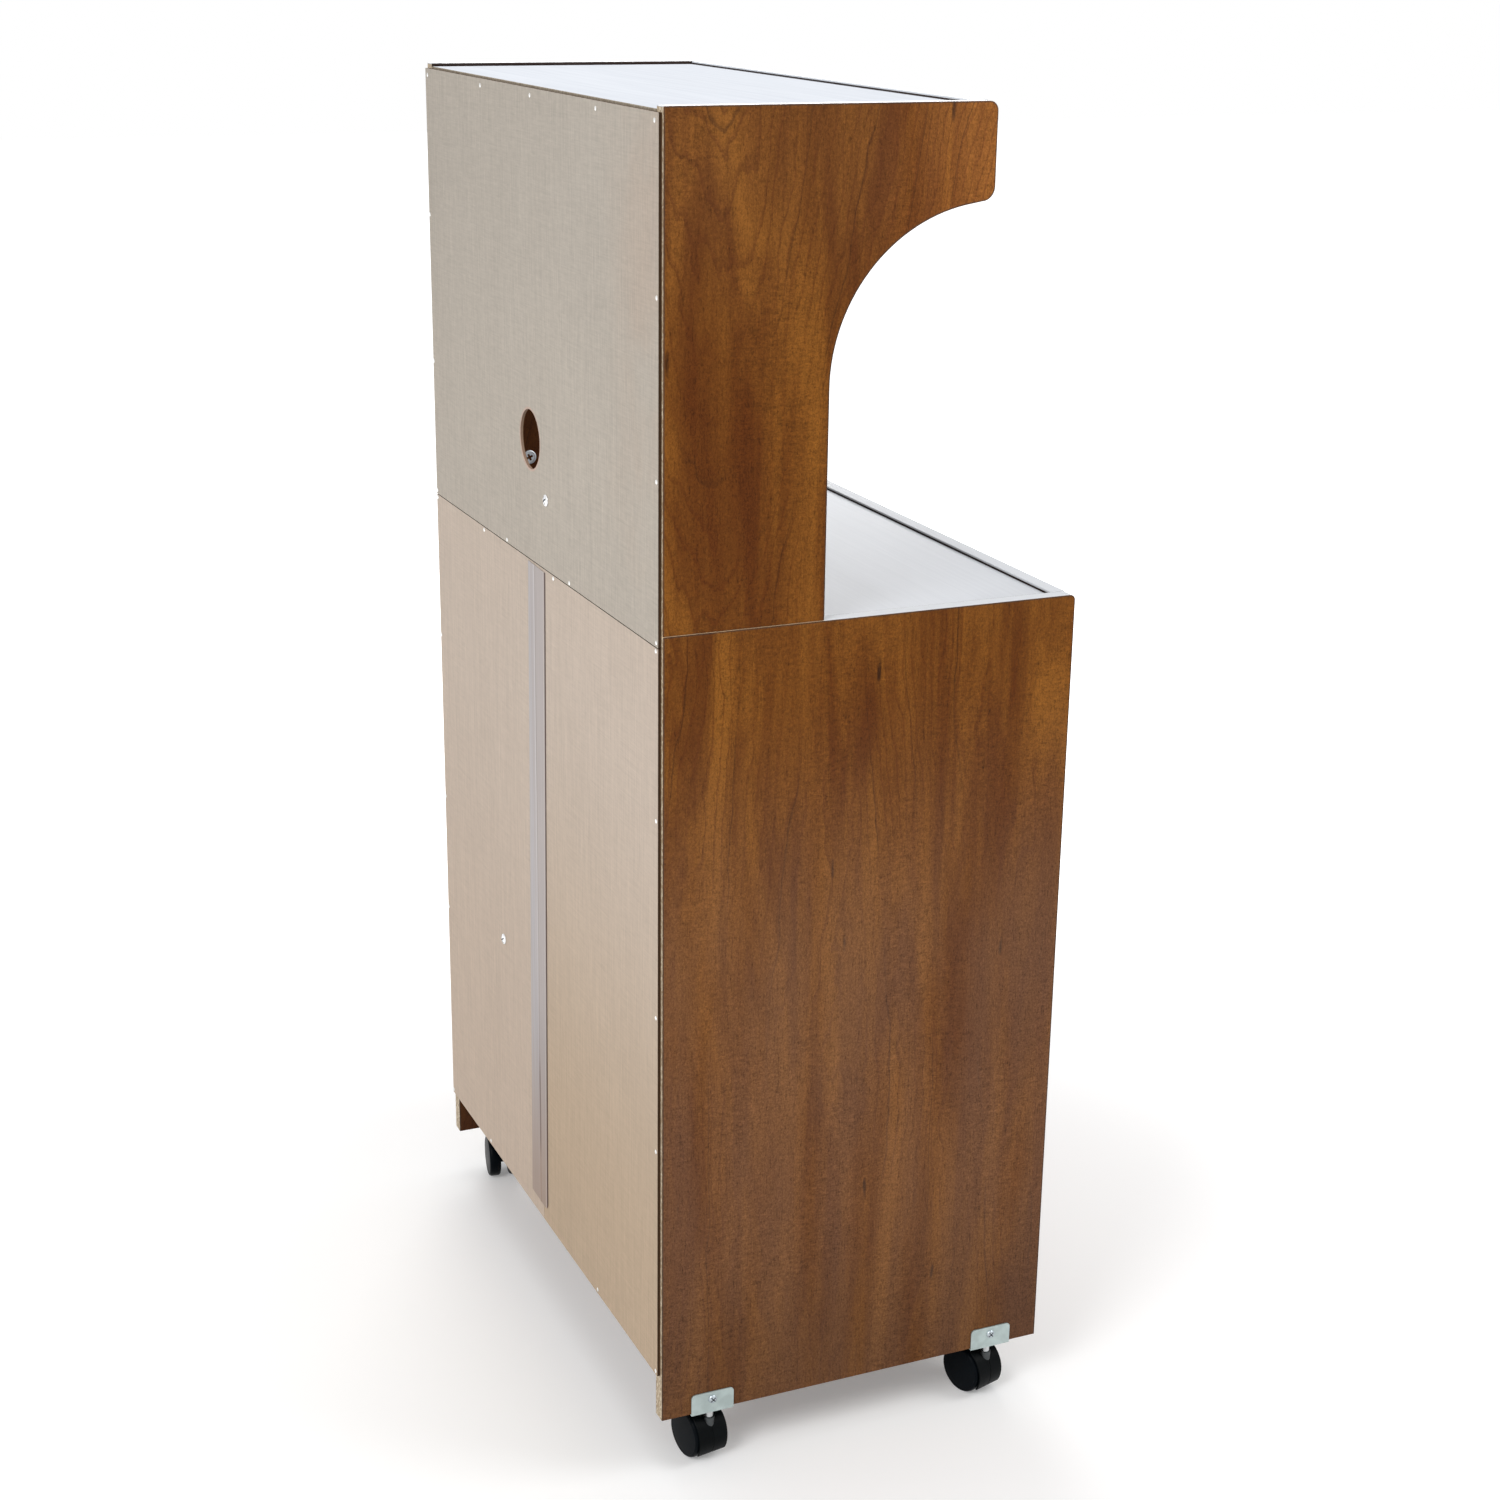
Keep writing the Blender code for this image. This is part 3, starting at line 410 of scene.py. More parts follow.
def cherry_board(node, grain, thickness, edges=(), seed=None, arch=3.0, inside=None, painted_sheen=None, painted_light=None,
                 heart=None):
    """A board with the cherry print on its broad faces, and a painted shade on the one that faces inside.

    Its edges are banded brown unless edges says otherwise. Its inner face gets a painted shade, near black
    where it stands above a pale board, and a lapped edge comes a little way down it. A painted sheen is given
    as the height where the print is clear, the height where the greyish sheen is full, and how much; with it
    the print is also painted darker towards the floor, a painted shade. A painted light is given the same way
    by depth, and lightens the tone towards the front.
    """
    low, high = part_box(node)
    number = "XYZ".index(thickness)
    finish = Finish(f"{node}_cherry", IOR=1.45, Specular_IOR_Level=0.08)
    across = "XYZ".replace(grain, "").replace(thickness, "")
    if seed is None:
        seed = len(node) * 0.37 + low.x * 2.1
    print_colour, tone, relief = cherry_print(finish, grain, across, seed, arch, heart)
    middle, half = (low[number] + high[number]) / 2, (high[number] - low[number]) / 2
    face = abs(finish.axis(thickness) - middle).above(half - FACE_SKIN)
    if painted_sheen:
        clear, full, amount = painted_sheen
        patchy = finish.noise(finish.mapped(grain_scale(grain, 17.0, 2.6), seed + 1.1), detail=3.0)
        # Painted sheen: dusty is a greyish sheen painted on in patches, from the clear height to the full
        # one.
        dusty = finish.axis("Z").smooth(clear, full) * patchy.smooth(0.05, 0.62) * amount
        print_colour = finish.mix(dusty, print_colour, CHERRY_SHEEN)
        # Painted shade: the print is painted up to a quarter darker towards the floor.
        tone = tone * (0.76 + finish.axis("Z").smooth(SIDE_LOW, SIDE_LOW + 0.22) * 0.24)
    if painted_light:
        clear, full, amount = painted_light
        # Painted light: the tone is painted lighter towards the front, by up to the amount given.
        tone = tone * (1.0 + finish.axis("Y").smooth(clear, full) * amount)
    print_colour = finish.scaled(print_colour, tone)
    edges = dict(edges)
    if inside:
        depth = finish.axis(thickness)
        turned_in = depth.above(middle) if inside == "+" else depth.below(middle)
        # Painted shade: faces turned inside are painted darker and redder.
        print_colour = finish.mix(turned_in * 0.62, print_colour, CHERRY_INSIDE_SHADE)
        if "+Z" in edges:
            lip = finish.axis("Z").above(high.z - LIP)
            print_colour = finish.mix(turned_in * lip * 0.85, print_colour, LIP_SHADE)
        if edges.get("+Z") == "lapped":
            lap = finish.axis("Z").above(high.z - LAP)
            print_colour = finish.mix(turned_in * lap, print_colour, PALE_EDGE)
    if thickness == "X":
        print_colour = finish.mix(side_outline(finish, node) * 0.6, print_colour, BAND_LINE)
    edge_colour = finish.mix(0.25, BAND_BROWN, print_colour)
    for (end, axis), look in edges.items():
        index = "XYZ".index(axis)
        if end == "+":
            here = finish.axis(axis).above(high[index] - EDGE_SKIN)
        else:
            here = finish.axis(axis).below(low[index] + EDGE_SKIN)
        edge_colour = finish.mix(here, edge_colour, edge_shown(finish, look))
    finish.feed(Base_Color=finish.mix(face, edge_colour, print_colour))
    finish.feed(Roughness=0.34 + relief * 0.10)
    finish.bump(relief, 0.00012, 0.5)
    dress(node, finish)


def pale_board(node, shade=1.0, gloss=0.25):
    """A board in pale laminate with faint streaks along it, bare and dusty at its back edge."""
    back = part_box(node)[1].y
    finish = Finish(f"{node}_pale", IOR=1.45, Specular_IOR_Level=gloss)
    streak = finish.noise(finish.mapped((5.0, 210.0, 210.0), 1.3), detail=3.0, roughness=0.6)
    cloud = finish.noise(finish.mapped((3.0, 9.0, 9.0), 4.1), detail=2.0)
    colour = finish.mix(streak.smooth(0.3, 0.7), LAMINATE_DARK, LAMINATE_PALE)
    # Shade above 1 paints the laminate lighter, a painted light.
    colour = finish.scaled(colour, (0.93 + cloud * 0.10) * shade)
    raw = finish.axis("Y").above(back - EDGE_SKIN)
    core = finish.mix(0.5, finish.scaled(particle_core(finish), 0.62), CHIP_DUST)
    finish.feed(Base_Color=finish.mix(raw, colour, core))
    finish.feed(Roughness=0.36 + streak * 0.12)
    finish.bump(streak, 0.00008, 0.4)
    dress(node, finish)


def hardboard(node, upper, lower, linen, blush=0.0, hole=None):
    """Thin hardboard: outside a pressed linen weave that yellows downwards, brown inside, dark at the edges.

    Linen and blush say how strong the weave and the stain at its left edge are.
    """
    low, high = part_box(node)
    finish = Finish(f"{node}_hardboard", IOR=1.45, Specular_IOR_Level=0.04)
    upright = finish.noise(finish.mapped((900.0, 900.0, 14.0)), detail=2.0)
    level = finish.noise(finish.mapped((14.0, 14.0, 900.0)), detail=2.0)
    cloud = finish.noise(finish.mapped((5.0, 5.0, 3.0), low.x + 2.0), detail=4.0, roughness=0.6)
    speck = finish.noise(finish.mapped((420.0, 420.0, 420.0)), detail=2.0).smooth(0.63, 0.74)
    strokes = finish.noise(finish.mapped((360.0, 360.0, 70.0), 3.0), detail=3.0, roughness=0.7)
    crossing = finish.noise(finish.mapped((70.0, 70.0, 360.0), 5.0), detail=3.0, roughness=0.7)
    weave = upright * 0.62 + level * 0.38
    margin = 0.1 * (high.z - low.z)
    drift = finish.axis("Z").smooth(low.z + margin, high.z - margin)
    colour = finish.mix(drift, lower, upper)
    stain = (1.0 - finish.axis("X").smooth(-0.29, -0.17)) * cloud.smooth(0.38, 0.60)
    colour = finish.mix(stain * blush, colour, PANEL_STAIN)
    woven = (strokes + crossing - 1.0) * linen
    colour = finish.scaled(colour, 0.66 + weave * 0.54 + cloud * 0.14 + woven)
    colour = finish.mix(speck * 0.10, colour, PANEL_SPECK)
    depth = finish.axis("Y")
    inside = depth.below(low.y + HARDBOARD_SKIN)
    outside = depth.above(high.y - HARDBOARD_SKIN)
    core = finish.mix(weave, FIBRE_DARK, FIBRE_BROWN)
    lining = finish.scaled(finish.mix(cloud, INNER_DARK, INNER_BROWN), 0.85 + weave * 0.3)
    if hole:
        from_hole = finish.distance(finish.place, hole)
        core = finish.mix(from_hole.below(0.05), core, HOLE_WALL)
        worn = from_hole.below(HOLE_RADIUS + 0.0012 + cloud * 0.0014)
        colour = finish.mix(worn * 0.8, colour, HOLE_RIM)
    colour = finish.mix(outside, finish.mix(inside, core, lining), colour)
    finish.feed(Base_Color=colour)
    finish.feed(Roughness=0.62 + weave * 0.22)
    finish.bump(weave, 0.00016, 0.6)
    dress(node, finish)


def moulded(name, colour, roughness, gloss=0.25, grain=0.00006):
    """Moulded plastic with a fine sparked grain and a little dust in it."""
    finish = Finish(name, IOR=1.5, Specular_IOR_Level=gloss)
    spark = finish.noise(finish.mapped((2600.0, 2600.0, 2600.0)), detail=2.0)
    scuff = finish.noise(finish.mapped((70.0, 70.0, 70.0)), detail=4.0, roughness=0.65)
    lighter = tuple(min(1.0, c * 1.5 + 0.0008) for c in colour)
    finish.feed(Base_Color=finish.mix(scuff.smooth(0.45, 0.8), colour, lighter))
    finish.feed(Roughness=roughness - 0.06 + scuff * 0.16)
    finish.bump(spark, grain, 0.5)
    return finish


def plated(name, colour, roughness, streak=(300.0, 300.0, 300.0), metallic=1.0):
    """Plated steel with fine drawing marks and cloudy plating."""
    finish = Finish(name, Metallic=metallic)
    mark = finish.noise(finish.mapped(streak), detail=3.0, roughness=0.6)
    cloud = finish.noise(finish.mapped((90.0, 90.0, 90.0)), detail=3.0)
    darker = tuple(c * 0.82 for c in colour)
    finish.feed(Base_Color=finish.mix(cloud.smooth(0.3, 0.7), darker, colour))
    finish.feed(Roughness=roughness - 0.08 + mark * 0.16)
    finish.bump(mark, 0.00003, 0.4)
    return finish


def foil(name, colour):
    """Matt paper foil on the drawer's box."""
    finish = Finish(name, IOR=1.45)
    fibre = finish.noise(finish.mapped((14.0, 14.0, 500.0)), detail=3.0)
    darker = tuple(c * 0.86 for c in colour)
    finish.feed(Base_Color=finish.mix(fibre.smooth(0.3, 0.7), darker, colour))
    finish.feed(Roughness=0.55 + fibre * 0.1)
    finish.bump(fibre, 0.00005, 0.4)
    return finish


# Painted shade: a near-black finish in the cross recesses of the screws and cam discs
RECESS_SHADE = moulded("recess_grime", (0.006, 0.008, 0.011), 0.6)


def deselect():
    if bpy.context.object and bpy.context.object.mode != "OBJECT":
        bpy.ops.object.mode_set(mode="OBJECT")
    bpy.ops.object.select_all(action="DESELECT")


def take(piece):
    """Makes a piece the only one selected, and active."""
    deselect()
    piece.select_set(True)
    bpy.context.view_layer.objects.active = piece
    return piece


def edit(piece):
    take(piece)
    bpy.ops.object.mode_set(mode="EDIT")


def pick(piece, kind, test):
    """Selects the faces, edges or vertices whose middle passes the test, in edit mode."""
    modes = {"verts": (True, False, False), "edges": (False, True, False), "faces": (False, False, True)}
    bpy.context.tool_settings.mesh_select_mode = modes[kind]
    bpy.ops.mesh.select_all(action="DESELECT")
    mesh = bmesh.from_edit_mesh(piece.data)
    for element in getattr(mesh, kind):
        if kind == "verts":
            middle = element.co
        elif kind == "edges":
            middle = (element.verts[0].co + element.verts[1].co) / 2
        else:
            middle = element.calc_center_median()
        element.select_set(test(middle))
    mesh.select_flush_mode()
    bmesh.update_edit_mesh(piece.data)


def close_up(piece):
    """Leaves edit mode with doubles merged and faces turned outwards."""
    bpy.ops.mesh.select_all(action="SELECT")
    bpy.ops.mesh.remove_doubles(threshold=1e-6)
    bpy.ops.mesh.normals_make_consistent(inside=False)
    bpy.ops.object.mode_set(mode="OBJECT")
    return piece


def turned(name, rings, sides=32):
    """A round piece about Z, drawn up from its lowest ring by extruding and scaling.

    Rings are (height, radius).
    """
    deselect()
    height, radius = rings[0]
    foot = (0, 0, height)
    bpy.ops.mesh.primitive_circle_add(vertices=sides, radius=radius, fill_type="NGON", location=foot)
    piece = bpy.context.object
    piece.name = name
    bpy.ops.object.transform_apply()
    edit(piece)
    bpy.ops.mesh.select_all(action="SELECT")
    for next_height, next_radius in rings[1:]:
        rise = (0.0, 0.0, next_height - height)
        bpy.ops.mesh.extrude_region_move(TRANSFORM_OT_translate={"value": rise})
        ratio = next_radius / radius
        bpy.ops.transform.resize(value=(ratio, ratio, 1.0), center_override=(0, 0, next_height))
        height, radius = next_height, next_radius
    return close_up(piece)


def smooth(piece, angle=35.0):
    take(piece)
    bpy.ops.object.shade_smooth_by_angle(angle=math.radians(angle))
    return piece


def boolean(piece, tool, operation):
    """Cuts or joins a tool and removes it."""
    take(piece)
    modifier = piece.modifiers.new("cut", "BOOLEAN")
    modifier.operation = operation
    modifier.solver = "EXACT"
    modifier.object = tool
    bpy.ops.object.modifier_apply(modifier=modifier.name)
    bpy.data.objects.remove(tool, do_unlink=True)


def bar(size, place=(0, 0, 0), turn=(0, 0, 0)):
    """A bar of a given size, with its size applied."""
    deselect()
    bpy.ops.mesh.primitive_cube_add(size=1.0, location=place, rotation=turn)
    piece = bpy.context.object
    piece.scale = size
    bpy.ops.object.transform_apply(location=True, rotation=True, scale=True)
    return piece


def drum(radius, width, axle, fill):
    """A drum round a caster's axle."""
    deselect()
    bpy.ops.mesh.primitive_cylinder_add(vertices=HOOD_SIDES, radius=radius, depth=width, end_fill_type=fill)
    piece = bpy.context.object
    piece.rotation_euler.x = math.pi / 2
    piece.location = axle
    bpy.ops.object.transform_apply(location=True, rotation=True, scale=True)
    return piece


def cross_recess(piece, top, arm, width, depth):
    """Cuts a cross-head recess down from the top of a screw that stands along Z.

    The faces of the recess get the second finish, a near-black painted shade.
    """
    for angle in (0.0, math.pi / 2):
        tool = bar((2 * arm, width, 2 * depth), (0, 0, top), (0, 0, angle))
        boolean(piece, tool, "DIFFERENCE")
    while len(piece.material_slots) < 2:
        bpy.ops.object.material_slot_add()
    edit(piece)
    edge = width / 2 + 1e-6

    def in_recess(p):
        in_arms = min(abs(p.x), abs(p.y)) < edge and p.xy.length < arm + edge
        return in_arms and top - depth * 1.1 < p.z < top - 1e-5

    pick(piece, "faces", in_recess)
    piece.active_material_index = 1
    bpy.ops.object.material_slot_assign()
    bpy.ops.object.mode_set(mode="OBJECT")


def place(piece, matrix):
    """Puts a piece in its place, with the place in its mesh."""
    take(piece)
    piece.matrix_world = matrix
    bpy.ops.object.transform_apply(location=True, rotation=True, scale=True)
    return piece


def copied(piece, name):
    twin = piece.copy()
    twin.data = piece.data.copy()
    twin.name = name
    bpy.context.scene.collection.objects.link(twin)
    return twin


def discard(*patterns):
    """Removes the patterns that copies were made from."""
    for pattern in patterns:
        bpy.data.objects.remove(pattern, do_unlink=True)


def joined(pieces, name):
    deselect()
    for piece in pieces:
        piece.select_set(True)
    bpy.context.view_layer.objects.active = pieces[0]
    bpy.ops.object.join()
    whole = bpy.context.object
    whole.name = name
    return whole


def mount(piece, body, finish, replaces=()):
    """Gives a finished piece its finish and its body, and hides the solids that it stands for."""
    if piece.data.materials:
        piece.data.materials[0] = finish.material
    else:
        piece.data.materials.append(finish.material)
    # A second slot gets the painted shade of a cross recess.
    if len(piece.data.materials) > 1:
        piece.data.materials[1] = RECESS_SHADE.material
    piece.data.name = piece.name
    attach(piece, body)
    if replaces:
        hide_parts(*replaces)


def facing(direction, at):
    """The place of a piece whose own +Z points in a direction."""
    turn = Vector((0, 0, 1)).rotation_difference(Vector(direction)).to_matrix().to_4x4()
    return Matrix.Translation(Vector(at)) @ turn


def boards():
    """The cherry and pale boards."""
    lower_edges = {"+Y": "raw", "-Z": "raw", "+Z": "ledge"}
    hutch_edges = {"+Y": "raw", "-Z": "raw", "+Z": "pale"}
    # The sides carry a painted sheen and a painted shade low down, the hutch sides a painted light towards
    # the front, and every inner face a painted shade.
    for side, seed, hutch_seed, inside in (("left", 2.3, 4.6, "+"), ("right", 7.9, 9.4, "-")):
        cherry_board(f"lower_side_{side}", "Z", "X", lower_edges, seed, inside=inside,
                     painted_sheen=(0.78, 0.46, 0.42))
        cherry_board(f"hutch_side_{side}", "Z", "X", hutch_edges, hutch_seed, arch=2.2, inside=inside,
                     painted_sheen=(1.0, 1.24, 0.10), painted_light=(0.05, -0.10, 0.58), heart=SIDE_BACK - 0.05)
        cherry_board(f"door_{side}", "Z", "Y", inside="+")
    cherry_board("drawer_front", "X", "Y", inside="+")
    cherry_board("counter_front_rail", "X", "Y", {"+Z": "lapped"}, inside="+")
    cherry_board("hutch_front_rail", "X", "Y", {"+Z": "lapped"}, inside="+")
    cherry_board("hutch_back_rail", "X", "Y", inside="+")
    cherry_board("plinth_rail", "X", "Y", {"-Z": "raw"}, inside="+")
    for level_board in ("drawer_divider_rail", "bottom_board", "middle_shelf"):
        cherry_board(level_board, "X", "Z", {"+Y": "raw"})
    pale_board("counter_board")
    # Painted light: the hutch's top is the counter's laminate, painted 1.22 times lighter and without gloss,
    # a painted sheen in place of its glare.
    pale_board("hutch_top_board", 1.22, 0.0)


def panels():
    """The hardboard back and the drawer's bottom."""
    hole = (HOLE_X, BACK_FACE, HOLE_Z)
    hardboard("hutch_back_panel", (0.492, 0.444, 0.386), (0.534, 0.480, 0.415), 0.26, 0.35, hole)
    for side, foot in (("left", (0.548, 0.422, 0.304)), ("right", (0.610, 0.494, 0.400))):
        hardboard(f"lower_back_{side}", (0.630, 0.530, 0.446), foot, 0.16)
    finish = Finish("drawer_bottom_hardboard", IOR=1.45)
    weave = finish.noise(finish.mapped((40.0, 40.0, 40.0)), detail=5.0, roughness=0.7)
    finish.feed(Base_Color=finish.mix(weave, DRAWER_DARK, DRAWER_BROWN))
    finish.feed(Roughness=0.55 + weave * 0.2)
    finish.bump(weave, 0.0001, 0.4)
    dress("drawer_bottom", finish)


def drawer_box():
    """The foil on the drawer's sides and back, and its plastic runners."""
    lining = foil("drawer_foil", (0.70, 0.66, 0.60))
    for node in ("drawer_side_left", "drawer_side_right", "drawer_back"):
        dress(node, lining)
    runner = moulded("runner_plastic", (0.72, 0.70, 0.65), 0.45)
    for side in SIDES:
        dress(f"drawer_runner_{side}", runner)


def metal_solids():
    """The caster plates and the doors' pivot pins."""
    zinc = plated("bracket_zinc", (0.50, 0.59, 0.58), 0.42, (160.0, 160.0, 900.0), 0.70)
    for caster in CASTERS:
        end, side = caster.split("_")[1:]
        dress(f"caster_bracket_{end}_{side}", zinc)
    steel = plated("pin_steel", (0.62, 0.62, 0.62), 0.3)
    for side in SIDES:
        dress(f"door_{side}_top_pin", steel)
        dress(f"door_{side}_bottom_pin", steel)


def nails():
    """Nail heads along the edges of the back, sunk a little into the hardboard.

    Their places are measured from the left side's face, and up from the seam between cabinet and hutch.
    """
    steel = plated("nail_steel", (0.88, 0.88, 0.86), 0.3)
    rings = [(-0.0010, NAIL_RADIUS * 0.5), (0.0001, NAIL_RADIUS * 0.92), (0.0003, NAIL_RADIUS)]
    rings += [(0.0006, NAIL_RADIUS * 0.86), (0.0008, NAIL_RADIUS * 0.45)]
    head = smooth(turned("nail", rings, 14))
    left, right = -SIDE_FACE, SIDE_FACE
    edges = (left + 0.007, right - 0.007)
    hutch = [(left + inset, 0.422) for inset in (0.012, 0.147, 0.318, 0.464, 0.638)]
    hutch += [(x, z) for x in edges for z in (0.283, 0.132, -0.006)]
    hutch += [(left + inset, -0.007) for inset in (0.225, 0.407)]
    lower = [(left + inset, -0.0135) for inset in (0.008, 0.270, 0.481, 0.642)]
    lower += [(x, z) for x in edges for z in (-0.166, -0.352, -0.484, -0.712)]
    lower += [(left + inset, -0.7115) for inset in (0.163, 0.504)]
    for name, places in (("hutch_back_nails", hutch), ("lower_back_nails", lower)):
        seats = [facing((0, 1, 0), (x, BACK_FACE, SEAM + z)) for x, z in places]
        heads = [place(copied(head, name), seat) for seat in seats]
        mount(joined(heads, name), "cabinet", steel)
    discard(head)


def screw(name, radius, height, shank_radius, shank_length):
    """A round-headed screw along Z, its head's seat at Z = 0."""
    rings = [(-shank_length, shank_radius * 0.3), (-shank_length + 0.003, shank_radius), (0.0, shank_radius)]
    rings += [(0.0, radius * 0.97), (height * 0.18, radius), (height * 0.48, radius * 0.93)]
    rings += [(height * 0.78, radius * 0.72), (height * 0.95, radius * 0.40), (height, radius * 0.12)]
    piece = turned(name, rings, 28)
    cross_recess(piece, height, radius * 0.62, radius * 0.22, height * 0.66)
    return smooth(piece)


def back_screws():
    """The round-headed screws in the back."""
    zinc = plated("screw_zinc", (0.86, 0.87, 0.88), 0.34)
    pattern = screw("back_screw", SCREW_HEAD_RADIUS, SCREW_HEAD_HEIGHT, 0.00175, 0.016)
    turn = Matrix.Rotation(0.5, 4, "Z")
    for node in ("hutch_back_screw", "shelf_back_screw"):
        low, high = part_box(node)
        middle = (low + high) / 2
        seat = facing((0, 1, 0), (middle.x, high.y - SCREW_HEAD_HEIGHT, middle.z))
        piece = place(copied(pattern, f"{node}_head"), seat @ turn)
        mount(piece, "cabinet", zinc, (node,))
    discard(pattern)


def plate_screws():
    """The cross-head screw in each caster plate."""
    zinc = plated("plate_screw_zinc", (0.52, 0.58, 0.62), 0.30)
    pattern = screw("plate_screw", PLATE_SCREW_RADIUS, 0.0021, 0.0016, 0.010)
    turn = Matrix.Rotation(0.7, 4, "Z")
    for caster in CASTERS:
        end, side = caster.split("_")[1:]
        low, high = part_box(f"caster_bracket_{end}_{side}")
        outward = SIDES[side]
        face = high.x if outward > 0 else low.x
        at = (face, (low.y + high.y) / 2, SIDE_LOW + PLATE_SCREW_RISE)
        piece = place(copied(pattern, f"{caster}_plate_screw"), facing((outward, 0, 0), at) @ turn)
        mount(piece, "cabinet", zinc)
    discard(pattern)


def cam_locks():
    """Cam-lock discs near the hutch sides' feet, with a cross slot."""
    cast = plated("cam_zinc", (0.66, 0.68, 0.70), 0.4)
    rings = [(-0.004, CAM_RADIUS * 0.97), (0.0, CAM_RADIUS), (0.0004, CAM_RADIUS)]
    rings += [(0.0006, CAM_RADIUS * 0.95), (0.0006, CAM_RADIUS * 0.80), (CAM_FACE, CAM_RADIUS * 0.76)]
    pattern = turned("cam", rings, 28)
    cross_recess(pattern, CAM_FACE, CAM_RADIUS * 0.5, 0.0024, 0.0018)
    smooth(pattern)
    turn = Matrix.Rotation(0.4, 4, "Z")
    for side, sign in SIDES.items():
        for number, depth in enumerate((0.036, 0.097)):
            at = (sign * HUTCH_INNER, SIDE_BACK - depth, SEAM + CAM_RISE)
            piece = place(copied(pattern, f"hutch_cam_{side}_{number}"), facing((-sign, 0, 0), at) @ turn)
            mount(piece, "cabinet", cast)
    discard(pattern)


def strip_finish(middle, bead):
    """Grey plastic, browner towards its foot, with a painted shadow along its rim and a painted highlight on
    its lip on one side, and a painted highlight along the bead.

    Low down, a dark gap shows beside the bead.
    """
    finish = Finish("joint_strip_plastic", IOR=1.5, Specular_IOR_Level=0.12)
    streak = finish.noise(finish.mapped((900.0, 900.0, 6.0)), detail=2.0)
    ribs = finish.noise(finish.mapped((420.0, 420.0, 1.5)), detail=1.0)
    cloud = finish.noise(finish.mapped((30.0, 30.0, 7.0)), detail=3.0)
    height = finish.axis("Z")
    across = finish.axis("X") * math.cos(STRIP_TILT) + height * math.sin(STRIP_TILT)
    near = middle.x * math.cos(STRIP_TILT) + middle.z * math.sin(STRIP_TILT) - STRIP_WIDTH / 2
    # Painted shadow: rim is a dark band along the near edge.
    rim = across.below(near + 0.0020)
    # Painted highlight: lip is a pale line just inside that band.
    lip = across.below(near + 0.0048) - rim
    from_bead = finish.axis("X") * math.cos(BEAD_LEAN) + height * math.sin(BEAD_LEAN) - bead
    # Painted highlight: a pale line along the top of the bead, higher up the strip.
    crest_highlight = 1.0 - abs(from_bead).smooth(0.0006, 0.0020)
    gap = (1.0 - abs(from_bead + 0.0020).smooth(0.0006, 0.0022)) * (1.0 - height.smooth(0.26, 0.30))
    gap = gap * height.smooth(0.165, 0.20)
    colour = finish.mix(cloud.smooth(0.3, 0.7), STRIP_DARK, STRIP_PALE)
    colour = finish.mix(from_bead.above(0.0) * ribs.smooth(0.3, 0.7) * 0.5, colour, STRIP_RIB)
    colour = finish.mix((1.0 - height.smooth(0.11, 0.34)) * 0.80, colour, STRIP_FOOT)
    colour = finish.mix(crest_highlight * height.smooth(0.22, 0.5) * 0.55, colour, STRIP_CREST_HIGHLIGHT)
    colour = finish.mix(lip * 0.35, colour, STRIP_LIP_HIGHLIGHT)
    colour = finish.mix(gap * 0.6, colour, STRIP_GAP)
    colour = finish.mix(rim * 0.85, colour, STRIP_RIM_SHADOW)
    finish.feed(Base_Color=finish.scaled(colour, 0.85 + streak * 0.3))
    finish.feed(Roughness=0.30 + cloud * 0.14)
    finish.bump(streak + ribs, 0.00006, 0.4)
    return finish


def joint_strip():
    """The plastic strip over the joint of the lower back, with its bead and one rounded corner."""
    low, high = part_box("back_joint_tape")
    length = (high.z - low.z - STRIP_WIDTH * math.sin(STRIP_TILT)) / math.cos(STRIP_TILT)
    middle = (low + high) / 2
    at = Matrix.Translation((middle.x, low.y + STRIP_THICKNESS / 2, middle.z))
    at = at @ Matrix.Rotation(-STRIP_TILT, 4, "Y")
    bead_way = Vector((math.cos(BEAD_LEAN), 0.0, math.sin(BEAD_LEAN)))
    bead = bead_way.dot(Vector((BEAD_X, 0.0, middle.z)))
    slant = at.inverted().to_3x3() @ bead_way
    joint = bead - bead_way.dot(middle)
    piece = bar((STRIP_WIDTH, STRIP_THICKNESS, length))
    piece.name = "back_joint_strip"
    edit(piece)
    for cut in (-0.0026, -0.0013, 0.0, 0.0013, 0.0026):
        bpy.ops.mesh.select_all(action="SELECT")
        bpy.ops.mesh.bisect(plane_co=slant * (joint + cut), plane_no=slant)
    for reach in (0.0015, 0.0004):
        pick(piece, "verts", lambda p: abs(p.dot(slant) - joint) < reach and p.y > 0)
        bpy.ops.transform.translate(value=(0, BEAD_RISE, 0))
    pick(piece, "edges", lambda p: p.x < -STRIP_WIDTH / 2 + 1e-5 and p.z < -length / 2 + 1e-5)
    bpy.ops.mesh.bevel(offset=STRIP_CORNER, segments=5, affect="EDGES")
    place(close_up(piece), at)
    mount(piece, "cabinet", strip_finish(middle, bead), ("back_joint_tape",))


